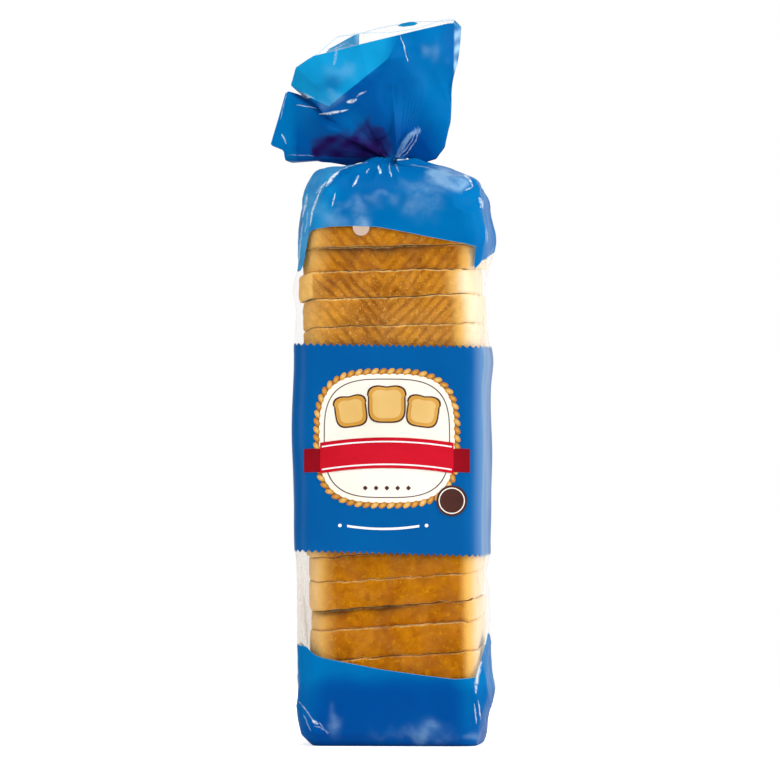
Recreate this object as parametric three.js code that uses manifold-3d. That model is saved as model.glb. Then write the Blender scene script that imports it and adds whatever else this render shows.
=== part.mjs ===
// A sliced sandwich loaf standing on end in its printed film bag, gathered and tied at the neck.
// Millimetres, +Z up, front towards -Y. The origin is the middle of the flat base.
import * as THREE from "three";
import Module from "manifold-3d";
import { mergeVertices } from "three/addons/utils/BufferGeometryUtils.js";

// The loaf: square slices stacked on end.
const loaf = { half: 49, corner: 9, base: 2, top: 313 };
// Heights of the cuts that show in the two clear windows, and how many slices the label hides.
const lowCuts = [18, 34, 49.7, 66.5, 77.7, 93.3];
const highCuts = [233.2, 248.9, 263.4, 276.8, 289, 301];
const slicesBehindLabel = 10;

// The film stands off the bread by this much, and more along the middle of each side.
const film = { gap: 0.9, sideBulge: 1.2, sideGap: 1.6 };
// At a cut in a window the film is drawn in. Each slice is pushed a little out of line with its neighbours.
const groove = { depth: 0.7, halfHeight: 1.3, windows: [[36, 112], [218, 292]] };
const shuffle = { reach: 0.9, underLabel: 0.25, label: [110, 222] };
// Where a side of the bag swells or is drawn in: side is -1 on the left and 1 on the right.
const swells = [
  { side: -1, height: 175, reach: 60, out: 2.4 },
  { side: -1, height: 258, reach: 22, out: -1.4 },
  { side: 1, height: 222, reach: 16, out: 1.8 },
  { side: 1, height: 284, reach: 12, out: 2.6 },
  { side: 1, height: 150, reach: 40, out: 0.8 },
  { side: 1, height: 24, reach: 12, out: 2.8 },
];
// The slices lean: rise per millimetre to the right, at these heights.
const leans = [
  [0, 0],
  [18, 0.02],
  [50, 0.075],
  [95, 0.072],
  [233, 0.03],
  [277, 0.025],
  [301, 0],
];

// The bottom edge, the shoulder dome, the neck and the tie.
const bottom = { flat: 43, edge: 6, insetX: 0.965, insetY: 0.98, edgeHeight: 1.6, liftLeft: 3 };
const shoulder = { start: 296, top: 322, power: 3, rows: 9, rounding: 12, roundest: 0.75 };
const pleats = { reach: 1.6, drop: 0.4, columns: 4, least: 0.6, vary: 0.4 };
const neck = { radius: 6.5, low: 322, high: 327 };
const tie = { gap: 0.35, thick: 1.1, tall: 2.8, endLength: 17, endWidth: 3, endThick: 1.2 };

// Columns round the bag: each quarter has a straight, a corner and a straight.
const columns = 56;
const quarter = columns / 4;
const cornerStart = 5;
const cornerEnd = 9;

// The flared tail above the tie. Each rib is a fold line from the neck to the mouth, on one column.
// The front layer runs from the right fold to the left fold, and the back layer returns.
const ribs = [
  {
    column: 0,
    via: [
      [0.12, 17, 0, 324.9],
      [0.2, 24, 0, 327.5],
      [0.3, 29, 0, 335],
      [0.45, 31.3, 0, 347.5],
      [0.78, 35.2, 0, 379],
    ],
    mouth: [37.4, 1, 400],
  },
  { column: 3, mouth: [31.2, -8, 404.5] },
  { column: 7, mouth: [14, -14, 398.8] },
  { column: 11, via: [[0.8, -1, -18, 381.6]], mouth: [-2, -13, 396] },
  { column: 14, via: [[0.35, -1, -6, 340], [0.72, -13, -21, 372]], mouth: [-20, -15, 396] },
  { column: 16, via: [[0.35, -5, -5, 338], [0.66, -20, -21, 367]], mouth: [-31, -14, 394.5] },
  { column: 18, via: [[0.35, -9, -4, 337], [0.63, -25.7, -21, 362]], mouth: [-42, -16, 384.5] },
  { column: 20, via: [[0.35, -12, -5, 335], [0.61, -32.4, -20, 356.6]], mouth: [-53.5, -15, 377] },
  { column: 22, via: [[0.35, -14, -8, 333], [0.68, -38.5, -18, 353]], mouth: [-56, -11, 367] },
  { column: 23, mouth: [-50, -3, 361] },
  { column: 24, via: [[0.5, -36, -13, 343]], mouth: [-58.7, -11, 364] },
  { column: 26, via: [[0.4, -27, -9, 331]], mouth: [-67, -9, 334] },
  {
    column: 28,
    via: [
      [0.12, -13, 0, 325.6],
      [0.32, -26, 0, 323.4],
      [0.62, -44, 0, 325],
    ],
    mouth: [-60.5, 0, 324.8],
  },
  { column: 30, via: [[0.4, -27, 9, 330]], mouth: [-63, 10, 332] },
  { column: 33, mouth: [-57, 15, 352] },
  { column: 36, mouth: [-50, 12, 372] },
  { column: 39, mouth: [-38, 18, 386] },
  { column: 42, mouth: [-24, 13, 394] },
  { column: 45, mouth: [-8, 19, 399] },
  { column: 48, mouth: [8, 15, 401] },
  { column: 51, mouth: [22, 17, 404] },
  { column: 54, mouth: [33, 8, 404.5] },
];
const tailRows = [0.07, 0.14, 0.24, 0.35, 0.47, 0.6, 0.7, 0.8, 0.9, 1];

const lerp = THREE.MathUtils.lerp;
const isWithin = (value, [low, high]) => value > low && value < high;

// Reads a value from a list of [position, value] pairs, straight between them.
function between(table, at) {
  const next = table.findIndex(([position]) => position >= at);
  if (next === 0) return table[0][1];
  if (next < 0) return table[table.length - 1][1];
  const [p0, v0] = table[next - 1];
  const [p1, v1] = table[next];
  return lerp(v0, v1, (at - p0) / (p1 - p0));
}

// Every cut between two slices, from the base to the top of the loaf.
function sliceCuts() {
  const from = lowCuts[lowCuts.length - 1];
  const step = (highCuts[0] - from) / slicesBehindLabel;
  const hidden = Array.from({ length: slicesBehindLabel - 1 }, (_, i) => from + step * (i + 1));
  return [loaf.base, ...lowCuts, ...hidden, ...highCuts, loaf.top];
}

const cuts = sliceCuts();

// How far each slice is pushed to the side and forward or back, as a share of the shuffle.
const pushes = cuts.map((_, i) => [Math.sin(i * 12.9898), Math.sin(i * 78.233 + 1)]);

// A point of a rounded rectangle at a column: 0 is right, then front, left and back.
function sectionPoint(column, halfX, halfY, corner) {
  const index = Math.floor(column / quarter) % 4;
  const within = column - quarter * Math.floor(column / quarter);
  const step = index % 2 === 0 ? within : quarter - within;
  const flatX = halfX - corner;
  const flatY = halfY - corner;
  let x, y;
  if (step <= cornerStart) {
    [x, y] = [halfX, (flatY * step) / cornerStart];
  } else if (step >= cornerEnd) {
    [x, y] = [(flatX * (quarter - step)) / (quarter - cornerEnd), halfY];
  } else {
    const angle = ((step - cornerStart) / (cornerEnd - cornerStart)) * (Math.PI / 2);
    [x, y] = [flatX + corner * Math.cos(angle), flatY + corner * Math.sin(angle)];
  }
  return [index === 0 || index === 3 ? x : -x, index < 2 ? -y : y];
}

// How far the film stands outside the bread on one side, at a height.
function sideGap(side, height) {
  return swells
    .filter((swell) => swell.side === side)
    .reduce((sum, { height: at, reach, out }) => sum + out * Math.exp(-(((height - at) / reach) ** 2)), film.sideGap);
}

// A row round the loaf at a height, following the push of the slice there. Depth draws it in at a cut.
function bodyRow(height, depth) {
  const slice = cuts.findIndex((cut) => cut >= height) - 1;
  const follow = isWithin(height, shuffle.label) ? shuffle.underLabel : 1;
  const [pushX, pushY] = pushes[slice].map((push) => push * shuffle.reach * follow);
  return Array.from({ length: columns }, (_, column) => {
    let [x, y] = sectionPoint(column, loaf.half, loaf.half, loaf.corner);
    const side = Math.sign(x) || 1;
    const towardsSide = Math.abs(x) / loaf.half;
    const bulge = film.sideBulge * (1 - (y / loaf.half) ** 2);
    x += side * (sideGap(side, height) + bulge - depth) * towardsSide ** 3 + pushX;
    y += Math.sign(y) * (film.gap - depth) * Math.min(1, Math.abs(y) / (loaf.half - loaf.corner)) + pushY;
    return [x, y, height + between(leans, height) * x];
  });
}

// The rows of the base: a flat patch on the floor, then the edge, which lifts a little on the left.
function bottomRows() {
  const flat = Array.from({ length: columns }, (_, column) => [
    ...sectionPoint(column, bottom.flat, bottom.flat, loaf.corner),
    0,
  ]);
  const edge = bodyRow(bottom.edge, 0).map(([x, y]) => {
    const lift = x < 0 ? bottom.liftLeft * (x / loaf.half) ** 2 : 0;
    return [x * bottom.insetX, y * bottom.insetY, bottom.edgeHeight + lift];
  });
  return [flat, edge, bodyRow(bottom.edge + 2, 0)];
}

// The heights of the body rows: each cut in a window is a shallow groove of three rows.
function bodyRows() {
  const rows = [];
  for (const cut of cuts.slice(1, -1)) {
    if (groove.windows.some((window) => isWithin(cut, window))) {
      rows.push(bodyRow(cut - groove.halfHeight, 0));
      rows.push(bodyRow(cut, groove.depth));
      rows.push(bodyRow(cut + groove.halfHeight, 0));
    } else if (cut < shoulder.start) {
      rows.push(bodyRow(cut, 0));
    }
  }
  return rows;
}

// The dome from the top edge of the loaf to the neck, with pleats that deepen as it closes.
function shoulderRows() {
  const widest = bodyRow(shoulder.start, 0);
  const least = neck.radius / loaf.half;
  const lastTurn = Math.acos(least ** (shoulder.power / 2));
  return Array.from({ length: shoulder.rows }, (_, row) => {
    const turn = (lastTurn * (row + 1)) / shoulder.rows;
    const shrink = Math.cos(turn) ** (2 / shoulder.power);
    const rise = Math.sin(turn) ** (2 / shoulder.power) / Math.sin(lastTurn) ** (2 / shoulder.power);
    const close = (1 - shrink) / (1 - least);
    const half = loaf.half * shrink;
    const corner = Math.min(shoulder.roundest * half, loaf.corner + shoulder.rounding * close);
    return widest.map(([wideX, wideY], column) => {
      const [x, y] = sectionPoint(column, half, half, corner);
      const fold = Math.abs((column % pleats.columns) - pleats.columns / 2) - 1;
      const strength = pleats.least + pleats.vary * Math.sin(column);
      const pleat = fold * pleats.reach * Math.sin(Math.PI * close) * strength;
      const spread = 1 + pleat / (half + 2 * neck.radius);
      const keep = 1 - close;
      const gapX = (Math.abs(wideX) - loaf.half) * Math.sign(wideX) * (Math.abs(x) / half) ** 3;
      const gapY = (Math.abs(wideY) - loaf.half) * Math.sign(wideY) * (Math.abs(y) / half) ** 3;
      const z = lerp(shoulder.start, shoulder.top, rise) - pleats.drop * Math.abs(pleat);
      return [x * spread + gapX * keep, y * spread + gapY * keep, z];
    });
  });
}

// The point of a rib at a share of the way from the neck to the mouth.
function ribPoint(rib, share) {
  const angle = (-rib.column / columns) * 2 * Math.PI;
  const start = [0, neck.radius * Math.cos(angle), neck.radius * Math.sin(angle), neck.high];
  const stops = [start, ...(rib.via ?? []), [1, ...rib.mouth]];
  return [1, 2, 3].map((axis) => between(stops.map((stop) => [stop[0], stop[axis]]), share));
}

// A row round the tail, straight from rib to rib, so that the panels between folds stay flat.
function tailRow(share) {
  const points = ribs.map((rib) => ribPoint(rib, share));
  const closed = [...ribs.map((rib) => rib.column), columns];
  points.push(points[0]);
  return Array.from({ length: columns }, (_, column) =>
    [0, 1, 2].map((axis) => between(closed.map((at, i) => [at, points[i][axis]]), column)),
  );
}

// Joins rows of equal length into a closed surface, with a fan under the first and a zip over the last.
function skin(rows) {
  const position = rows.flat(2);
  const index = [];
  const at = (row, column) => row * columns + (column % columns);
  for (let row = 0; row + 1 < rows.length; row++) {
    for (let column = 0; column < columns; column++) {
      const [a, b] = [at(row, column), at(row, column + 1)];
      const [c, d] = [at(row + 1, column), at(row + 1, column + 1)];
      index.push(a, c, b, b, c, d);
    }
  }
  const centre = position.length / 3;
  position.push(0, 0, 0);
  for (let column = 0; column < columns; column++) index.push(centre, at(0, column), at(0, column + 1));
  const last = rows.length - 1;
  for (let column = 0; column < columns / 2; column++) {
    const [front, nextFront] = [at(last, column), at(last, column + 1)];
    const [back, nextBack] = [at(last, columns - column), at(last, columns - column - 1)];
    if (front !== back) index.push(front, back, nextFront);
    if (nextFront !== nextBack) index.push(nextFront, back, nextBack);
  }
  const geometry = new THREE.BufferGeometry();
  geometry.setAttribute("position", new THREE.Float32BufferAttribute(position, 3));
  geometry.setIndex(index);
  geometry.computeVertexNormals();
  return geometry;
}

const neckRow = (height) =>
  Array.from({ length: columns }, (_, column) => {
    const angle = (-column / columns) * 2 * Math.PI;
    return [neck.radius * Math.cos(angle), neck.radius * Math.sin(angle), height];
  });

function bagGeometry() {
  return skin([
    ...bottomRows(),
    ...bodyRows(),
    ...shoulderRows(),
    neckRow((neck.low + neck.high) / 2),
    neckRow(neck.high),
    ...tailRows.map(tailRow),
  ]);
}

const wasm = await Module();
wasm.setup();

// Turns a closed three.js geometry into a solid that can be joined.
function solidOf(geometry) {
  const bare = new THREE.BufferGeometry();
  bare.setAttribute("position", geometry.getAttribute("position"));
  if (geometry.index) bare.setIndex(geometry.index);
  const merged = mergeVertices(bare, 1e-4);
  return new wasm.Manifold(
    new wasm.Mesh({
      numProp: 3,
      vertProperties: merged.getAttribute("position").array,
      triVerts: new Uint32Array(merged.index.array),
    }),
  );
}

function geometryOf(solid) {
  const mesh = solid.getMesh();
  const geometry = new THREE.BufferGeometry();
  geometry.setAttribute("position", new THREE.Float32BufferAttribute(mesh.vertProperties, 3));
  geometry.setIndex([...mesh.triVerts]);
  geometry.computeVertexNormals();
  return geometry;
}

// The tie: a flat band round the neck, with its two ends twisted together and bent back.
function tieGeometry() {
  const inner = neck.radius + tie.gap;
  const outer = inner + tie.thick;
  const half = tie.tall / 2;
  const middle = (neck.low + neck.high) / 2;
  const profile = [
    [inner, -half],
    [outer, -half],
    [outer, half],
    [inner, half],
    [inner, -half],
  ].map(([radius, height]) => new THREE.Vector2(radius, height));
  const band = new THREE.LatheGeometry(profile, 32).rotateX(Math.PI / 2).translate(0, 0, middle);
  const endOutline = new THREE.Shape();
  endOutline.absellipse(0, 0, tie.endWidth / 2, tie.endThick / 2, 0, 2 * Math.PI);
  const startY = inner + tie.thick / 2;
  const path = new THREE.CatmullRomCurve3([
    new THREE.Vector3(0, startY, middle),
    new THREE.Vector3(1.5, startY + 0.3 * tie.endLength, middle + 0.6),
    new THREE.Vector3(4.5, startY + 0.65 * tie.endLength, middle + 0.2),
    new THREE.Vector3(9, startY + tie.endLength, middle + 1.2),
  ]);
  const ends = new THREE.ExtrudeGeometry(endOutline, { steps: 14, curveSegments: 6, extrudePath: path });
  return geometryOf(solidOf(band).add(solidOf(ends)));
}

const bag = new THREE.Mesh(
  bagGeometry(),
  new THREE.MeshStandardMaterial({ color: 0x0a6cb4, roughness: 0.25, metalness: 0 }),
);
bag.name = "bread_bag";

const tieMesh = new THREE.Mesh(
  tieGeometry(),
  new THREE.MeshStandardMaterial({ color: 0xe8eef2, roughness: 0.5, metalness: 0 }),
);
tieMesh.name = "tie";

const object = new THREE.Group();
object.name = "bagged_loaf";
object.add(bag, tieMesh);

export default object;
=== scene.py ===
import math

import bpy
import numpy as np
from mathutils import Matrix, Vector
from mathutils.geometry import delaunay_2d_cdt


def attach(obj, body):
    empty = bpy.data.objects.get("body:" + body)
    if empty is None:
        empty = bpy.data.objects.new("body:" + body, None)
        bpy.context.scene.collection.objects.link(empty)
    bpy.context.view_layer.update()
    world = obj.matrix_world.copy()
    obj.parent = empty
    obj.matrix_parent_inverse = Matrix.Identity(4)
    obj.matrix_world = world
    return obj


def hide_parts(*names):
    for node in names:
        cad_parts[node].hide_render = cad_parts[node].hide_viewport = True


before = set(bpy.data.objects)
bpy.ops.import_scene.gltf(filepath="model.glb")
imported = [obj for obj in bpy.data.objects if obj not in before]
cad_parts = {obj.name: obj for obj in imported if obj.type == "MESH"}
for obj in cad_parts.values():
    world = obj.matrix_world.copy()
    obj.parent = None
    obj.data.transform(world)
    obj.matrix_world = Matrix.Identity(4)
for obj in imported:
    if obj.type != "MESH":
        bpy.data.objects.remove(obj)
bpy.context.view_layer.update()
mm = 0.001

# Sizes below are millimetres in the frame of the CAD part: +Z up, front towards -Y.
loaf = {"half": 49.0, "corner": 9.0, "base": 2.0, "top": 313.0}
lowCuts = [18, 34, 49.7, 66.5, 77.7, 93.3]
highCuts = [233.2, 248.9, 263.4, 276.8, 289, 301]
slicesBehindLabel = 10
leanAt = [0, 18, 50, 95, 233, 277, 301]  # heights of the lean values below
leanOf = [0, 0.02, 0.075, 0.072, 0.03, 0.025, 0]  # rise per millimetre to the right

hiddenCuts = list(np.linspace(lowCuts[-1], highCuts[0], slicesBehindLabel + 1)[1:-1])
cuts = np.array([loaf["base"]] + lowCuts + hiddenCuts + highCuts + [loaf["top"]])

# How each slice that shows is pushed out of line, to the right and back, and how it tips back.
slicePush = {
    2: (3.4, 0.4, 0.010),
    3: (2.6, -0.3, 0.018),
    4: (2.7, 1.3, 0.012),
    5: (2.0, -0.9, 0.030),
    6: (2.3, 0.1, 0.012),
    15: (0.6, 0.1, -0.010),
    16: (0.4, -0.3, -0.012),
    17: (-1.4, 0.2, -0.004),
    18: (0.9, 1.3, 0.004),
    19: (1.8, -0.9, 0.010),
    20: (0.8, 0.0, 0.0),
    21: (0.2, 0.0, 0.0),
}
lowTrim = {2: 1.2, 3: 2.2}  # how much narrower these slices are, in millimetres
loafShift = 1.7  # the loaf lies nearer the right side of its bag


# Small shared tools

def smoothStep(low, high, value):
    t = np.clip((value - low) / (high - low), 0, 1)
    return t * t * (3 - 2 * t)


def softNoise(points, size, seed):
    # a smooth random field of about -1 to 1, with lumps of the given size in millimetres
    waves = 14
    rng = np.random.default_rng(seed)
    size = np.broadcast_to(np.asarray(size, float), (3,))
    total = np.zeros(points.shape[:-1])
    for _ in range(waves):
        direction = rng.normal(size=3)
        direction *= rng.uniform(0.6, 1.5) / np.linalg.norm(direction)
        phase = rng.uniform(0, 2 * math.pi)
        total += np.sin(points @ (direction * 2 * math.pi / size) + phase)
    return total / math.sqrt(waves)


def ridgeNoise(points, size, seed):
    # sharp crests between soft hollows, 0 to 1
    return np.clip(1 - np.abs(softNoise(points, size, seed)) * 1.3, 0, 1)


def lineDistance(u, v, path):
    # distance from each point (u, v) to a broken line, and how far along it the nearest place is
    best = np.full(u.shape, 1e9)
    along = np.zeros(u.shape)
    steps = len(path) - 1
    for i in range(steps):
        (u0, v0), (u1, v1) = path[i], path[i + 1]
        lengthSquared = (u1 - u0) ** 2 + (v1 - v0) ** 2
        t = np.clip(((u - u0) * (u1 - u0) + (v - v0) * (v1 - v0)) / lengthSquared, 0, 1)
        distance = np.hypot(u - u0 - t * (u1 - u0), v - v0 - t * (v1 - v0))
        nearer = distance < best
        best = np.where(nearer, distance, best)
        along = np.where(nearer, (i + t) / steps, along)
    return best, along


def insideDistance(u, v, corners):
    # signed distance in from the edges of a convex outline given clockwise, positive inside
    inside = np.full(u.shape, 1e9)
    for (u0, v0), (u1, v1) in zip(corners, corners[1:] + corners[:1]):
        length = math.hypot(u1 - u0, v1 - v0)
        inside = np.minimum(inside, ((v - v0) * (u1 - u0) - (u - u0) * (v1 - v0)) / -length)
    return inside


def gridNormals(grid):
    around = np.roll(grid, -1, axis=1) - np.roll(grid, 1, axis=1)
    up = np.gradient(grid, axis=0)
    normal = np.cross(up, around)
    length = np.linalg.norm(normal, axis=-1, keepdims=True)
    return normal / np.maximum(length, 1e-9)


def makeMesh(name, points, faces, values=None):
    # points in millimetres; values are named numbers on the points
    mesh = bpy.data.meshes.new(name)
    vertices = (np.asarray(points).reshape(-1, 3) * mm).tolist()
    mesh.from_pydata(vertices, [], [list(map(int, face)) for face in faces])
    for key, numbers in (values or {}).items():
        layer = mesh.attributes.new(key, "FLOAT", "POINT")
        layer.data.foreach_set("value", np.asarray(numbers, float).ravel())
    mesh.validate()
    mesh.polygons.foreach_set("use_smooth", [True] * len(mesh.polygons))
    piece = bpy.data.objects.new(name, mesh)
    bpy.context.collection.objects.link(piece)
    return piece


def gridFaces(rows, columns):
    index = np.arange(rows * columns).reshape(rows, columns)
    nextColumn = np.roll(index, -1, axis=1)
    quads = np.stack([index[:-1], index[1:], nextColumn[1:], nextColumn[:-1]], axis=-1)
    return quads.reshape(-1, 4).tolist()


# The shape of the bag, as in the CAD part

columnsOfCad = 56
quarter = 14
cornerStart = 5
cornerEnd = 9


def sectionPoint(column, half, corner):
    # a point of a rounded square: column 0 is right, then front, left and back
    column = np.mod(column, columnsOfCad)
    index = np.floor(column / quarter).astype(int)
    within = column - quarter * index
    step = np.where(index % 2 == 0, within, quarter - within)
    flat = half - corner
    angle = np.clip((step - cornerStart) / (cornerEnd - cornerStart), 0, 1) * math.pi / 2
    straightUp = np.minimum(step, cornerStart) / cornerStart
    straightOut = np.minimum((quarter - step) / (quarter - cornerEnd), 1)
    x = flat * straightOut + corner * np.cos(angle)
    y = flat * straightUp + corner * np.sin(angle)
    signX = np.where((index == 0) | (index == 3), 1, -1)
    signY = np.where(index < 2, -1, 1)
    return x * signX, y * signY


def evenColumns(count, frontWeight=1.0):
    # columns spaced evenly in millimetres round the loaf, and closer by the weight on its front
    fine = np.linspace(0, columnsOfCad, 4001)
    x, y = sectionPoint(fine, loaf["half"], loaf["corner"])
    weight = np.where(y[1:] < loaf["corner"] - loaf["half"], frontWeight, 1.0)
    length = np.concatenate([[0], np.cumsum(np.hypot(np.diff(x), np.diff(y)) * weight)])
    return np.interp(np.arange(count) / count * length[-1], length, fine)


bagShape = {
    "follow": (0.3, 0.1),  # how far the film follows a slice out of line: softly, and in a step at each cut
    "gap": 0.9,
    "sideGap": 1.6,
    "sideBulge": 1.2,
    "frontBulge": 0.5,
    "swells": [  # side, height, reach, out
        (-1, 175, 60, 2.4),
        (-1, 258, 22, -1.4),
        (-1, 254, 8, 2.2),
        (1, 212, 11, 1.6),
        (1, 246, 20, -1.2),
        (1, 280, 12, 2.6),
        (1, 150, 40, 0.8),
        (1, 27, 9, 3.0),
        (1, 91, 6, -2.0),
        (1, 8, 9, -1.6),
    ],
    "taperAt": [4, 16, 30, 262, 286, 300, 322],  # the left side comes in at the top and the bottom
    "taperOf": [3.4, 0.6, 0, 0, 2.0, 4.0, 5.0],
    "start": 296.0,  # where the shoulder begins
    "crown": 321.0,  # the shoulder's height at the tie, before its lift
    "power": 3.0,
    "rightTuck": 1.7,  # the film is drawn in above the right corner
    "leftRise": 2.6,  # the left corner of the shoulder stands higher than the right one
    "tuckAt": 303.0,
    "tuckReach": 9.0,
    "jut": 5.2,  # a pointed corner stands out above the right side
    "jutAt": 315.0,
    "jutReach": (7.0, 3.4),  # below it and above it
    "rounding": 12.0,
    "roundest": 0.75,
    "puff": 2.7,
    "puffRing": 11.0,
    "puffWidth": (2.6, 6.0),  # towards the tie, and away from it
    # how much higher the film stands, by distance from the tie
    "liftAt": [0, 7.5, 11, 15, 24, 33, 41, 48, 54],
    "liftOf": [1.2, 1.2, 2.4, 2.2, 1.8, 2.0, 1.5, 1.0, 3.4],
    "neckRadius": 6.5,
    "neckLow": 322.4,
    "neckHigh": 327.0,
    "edgeInset": 0.12,  # how far the base is drawn in, less so on the right
    "insetAt": [0, 40],
    "insetOf": [1, 0.25],
    "edgeHeight": 8.0,
    "edgeLift": 4.2,  # the bottom edge rises to the left
}


def pushAt(height):
    # the film follows the slices, with a soft step at each cut
    middle = (cuts[:-1] + cuts[1:]) / 2
    out = []
    for axis in (0, 1):
        still = (loafShift, 0, 0)
        given = [slicePush.get(i, still)[axis] - still[axis] for i in range(len(middle))]
        stepped = sum(
            np.where((height >= low) & (height < high), value, 0.0)
            for low, high, value in zip(cuts[:-1], cuts[1:], given)
        )
        smooth = np.interp(height, middle, given)
        softly, inSteps = bagShape["follow"]
        out.append(softly * smooth + inSteps * stepped)
    return out


def bodyPoints(height, column, out=0.0):
    height, column = np.broadcast_arrays(height, column)
    shape = bagShape
    half = loaf["half"]
    x, y = sectionPoint(column, half, loaf["corner"])
    side = np.where(x < 0, -1, 1)
    gap = np.full(x.shape, shape["sideGap"])
    for which, at, reach, swell in shape["swells"]:
        gap = gap + np.where(side == which, swell * np.exp(-(((height - at) / reach) ** 2)), 0)
    bulge = shape["sideBulge"] * (1 - (y / half) ** 2)
    frontBulge = shape["frontBulge"] * (1 - (x / half) ** 2)
    pushX, pushY = pushAt(height)
    taper = np.where(side < 0, np.interp(height, shape["taperAt"], shape["taperOf"]), 0)
    px = x + (side * (gap + bulge + out) + taper) * (np.abs(x) / half) ** 3 + pushX
    reachY = np.minimum(1, np.abs(y) / (half - loaf["corner"]))
    py = y + np.sign(y) * (shape["gap"] + frontBulge + out) * reachY + pushY
    return np.stack([px, py, height + np.interp(height, leanAt, leanOf) * px], axis=-1)


def bottomPoints(turn, column):
    # the rounded bottom edge: turn runs from the floor (0) to the side (1)
    shape = bagShape
    body = bodyPoints(np.full_like(column, shape["edgeHeight"]), column)
    angle = turn * math.pi / 2
    inset = shape["edgeInset"] * (1 - math.sin(angle))
    height = shape["edgeHeight"] * (1 - math.cos(angle))
    x = body[:, 0] * (1 - inset * np.interp(body[:, 0], shape["insetAt"], shape["insetOf"]))
    y = body[:, 1] * (1 - inset)
    lift = shape["edgeLift"] * smoothStep(46, -46, x) * math.sin(angle) * (1 - height / shape["edgeHeight"])
    lean = np.interp(height, leanAt, leanOf)
    return np.stack([x, y, height + lift + lean * x * turn], axis=-1)


def shoulderPoints(part, column):
    # the dome: part runs from the top edge of the loaf (0) to the neck (1)
    shape = bagShape
    half = loaf["half"]
    wide = bodyPoints(np.full_like(column, shape["start"]), column)
    least = shape["neckRadius"] / half
    lastTurn = math.acos(least ** (shape["power"] / 2))
    turn = lastTurn * part
    shrink = math.cos(turn) ** (2 / shape["power"])
    rise = (math.sin(turn) / math.sin(lastTurn)) ** (2 / shape["power"])
    close = (1 - shrink) / (1 - least)
    now = half * shrink
    corner = min(shape["roundest"] * now, loaf["corner"] + shape["rounding"] * close)
    x, y = sectionPoint(column, now, corner)
    keep = 1 - close
    gapX = (np.abs(wide[:, 0]) - half) * np.sign(wide[:, 0]) * (np.abs(x) / now) ** 3
    gapY = (np.abs(wide[:, 1]) - half) * np.sign(wide[:, 1]) * (np.abs(y) / now) ** 3
    # the gathered film stands up in a soft ring round the tie
    ring = np.hypot(x, y)
    puffWidth = np.where(ring < shape["puffRing"], *shape["puffWidth"])
    puff = shape["puff"] * np.exp(-(((ring - shape["puffRing"]) / puffWidth) ** 2))
    lift = np.interp(ring, shape["liftAt"], shape["liftOf"])
    z = shape["start"] + (shape["crown"] - shape["start"]) * rise + puff + lift * smoothStep(0.0, 0.3, close)
    z = z - shape["leftRise"] * x / 40 * smoothStep(24, 38, np.abs(x)) * smoothStep(0.0, 0.15, close)
    tuck = np.exp(-(((z - shape["tuckAt"]) / shape["tuckReach"]) ** 2))
    tuck = shape["rightTuck"] * tuck * smoothStep(25, 45, x)
    jutReach = np.where(z < shape["jutAt"], *shape["jutReach"])
    jut = shape["jut"] * np.exp(-(((z - shape["jutAt"]) / jutReach) ** 2)) * smoothStep(25, 40, x)
    out = (jut * smoothStep(38, 8, y) - tuck) * smoothStep(0, 0.05, close)
    return np.stack([x + gapX * keep + out, y + gapY * keep, z], axis=-1), close


# Folds that catch the light. Each is a line seen from one side, with its height and width.
folds = [
    # the crease from the neck to the left shoulder, and its branches
    ("front", [(1.7, 324), (-12, 322.5), (-26, 314.5), (-37, 303), (-41, 284)], 1.3, 3.5),
    ("front", [(-37, 303), (-45, 292), (-48, 276)], 0.8, 2.2),
    ("front", [(-4, 322), (-8, 313)], 0.9, 1.6),
    ("front", [(3, 321), (6, 311)], 0.8, 1.6),
    ("front", [(-18, 316), (-21, 309)], 0.7, 1.4),
    ("front", [(0, 321), (0.5, 314)], 0.7, 1.4),
    ("front", [(12, 320), (26, 314), (40, 308)], 0.5, 5.0),
    # the bottom corners
    ("front", [(-53, 25), (-46, 17), (-40, 4)], 1.2, 2.6),
    ("front", [(-50, 18), (-41, 11)], 0.7, 2.0),
    ("front", [(-47, 12), (-38, 7)], 0.7, 1.8),
    ("front", [(46, 36), (47, 29), (51, 20)], 1.2, 2.4),
    ("front", [(49, 30), (51, 8)], 0.9, 1.6),
    ("right", [(-46, 34), (-30, 46), (0, 57), (30, 55)], 1.6, 5.0),
    ("right", [(-44, 30), (-20, 20), (10, 24)], 1.2, 4.0),
    ("right", [(-40, 8), (-10, 22), (30, 8)], 1.0, 4.0),
    ("right", [(-42, 268), (-20, 272), (10, 276), (40, 270)], 1.2, 4.0),
    ("right", [(-30, 318), (-38, 300), (-44, 276)], 1.0, 3.0),
    ("right", [(20, 316), (34, 296), (42, 262)], 0.9, 3.0),
    ("left", [(-30, 316), (-40, 296), (-44, 262)], 1.0, 3.0),
    ("left", [(20, 318), (36, 300), (44, 280)], 0.9, 3.0),
    ("left", [(-44, 46), (-10, 30), (30, 44)], 1.1, 4.0),
    ("left", [(-38, 8), (0, 26), (38, 8)], 1.0, 4.0),
    ("back", [(0, 324), (14, 318), (32, 306), (42, 284)], 1.2, 3.0),
    ("back", [(-3, 322), (-16, 312), (-24, 300)], 0.8, 2.4),
    ("back", [(-44, 40), (-20, 28), (10, 30), (42, 44)], 0.8, 4.0),
    ("back", [(-46, 20), (-30, 6)], 1.0, 3.0),
    ("back", [(46, 20), (32, 6)], 1.0, 3.0),
]
# side of the bag: which way it faces, and which coordinate runs across it
facings = {
    "front": (np.array([0, -1, 0]), 0),
    "back": (np.array([0, 1, 0]), 0),
    "right": (np.array([1, 0, 0]), 1),
    "left": (np.array([-1, 0, 0]), 1),
}


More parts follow.
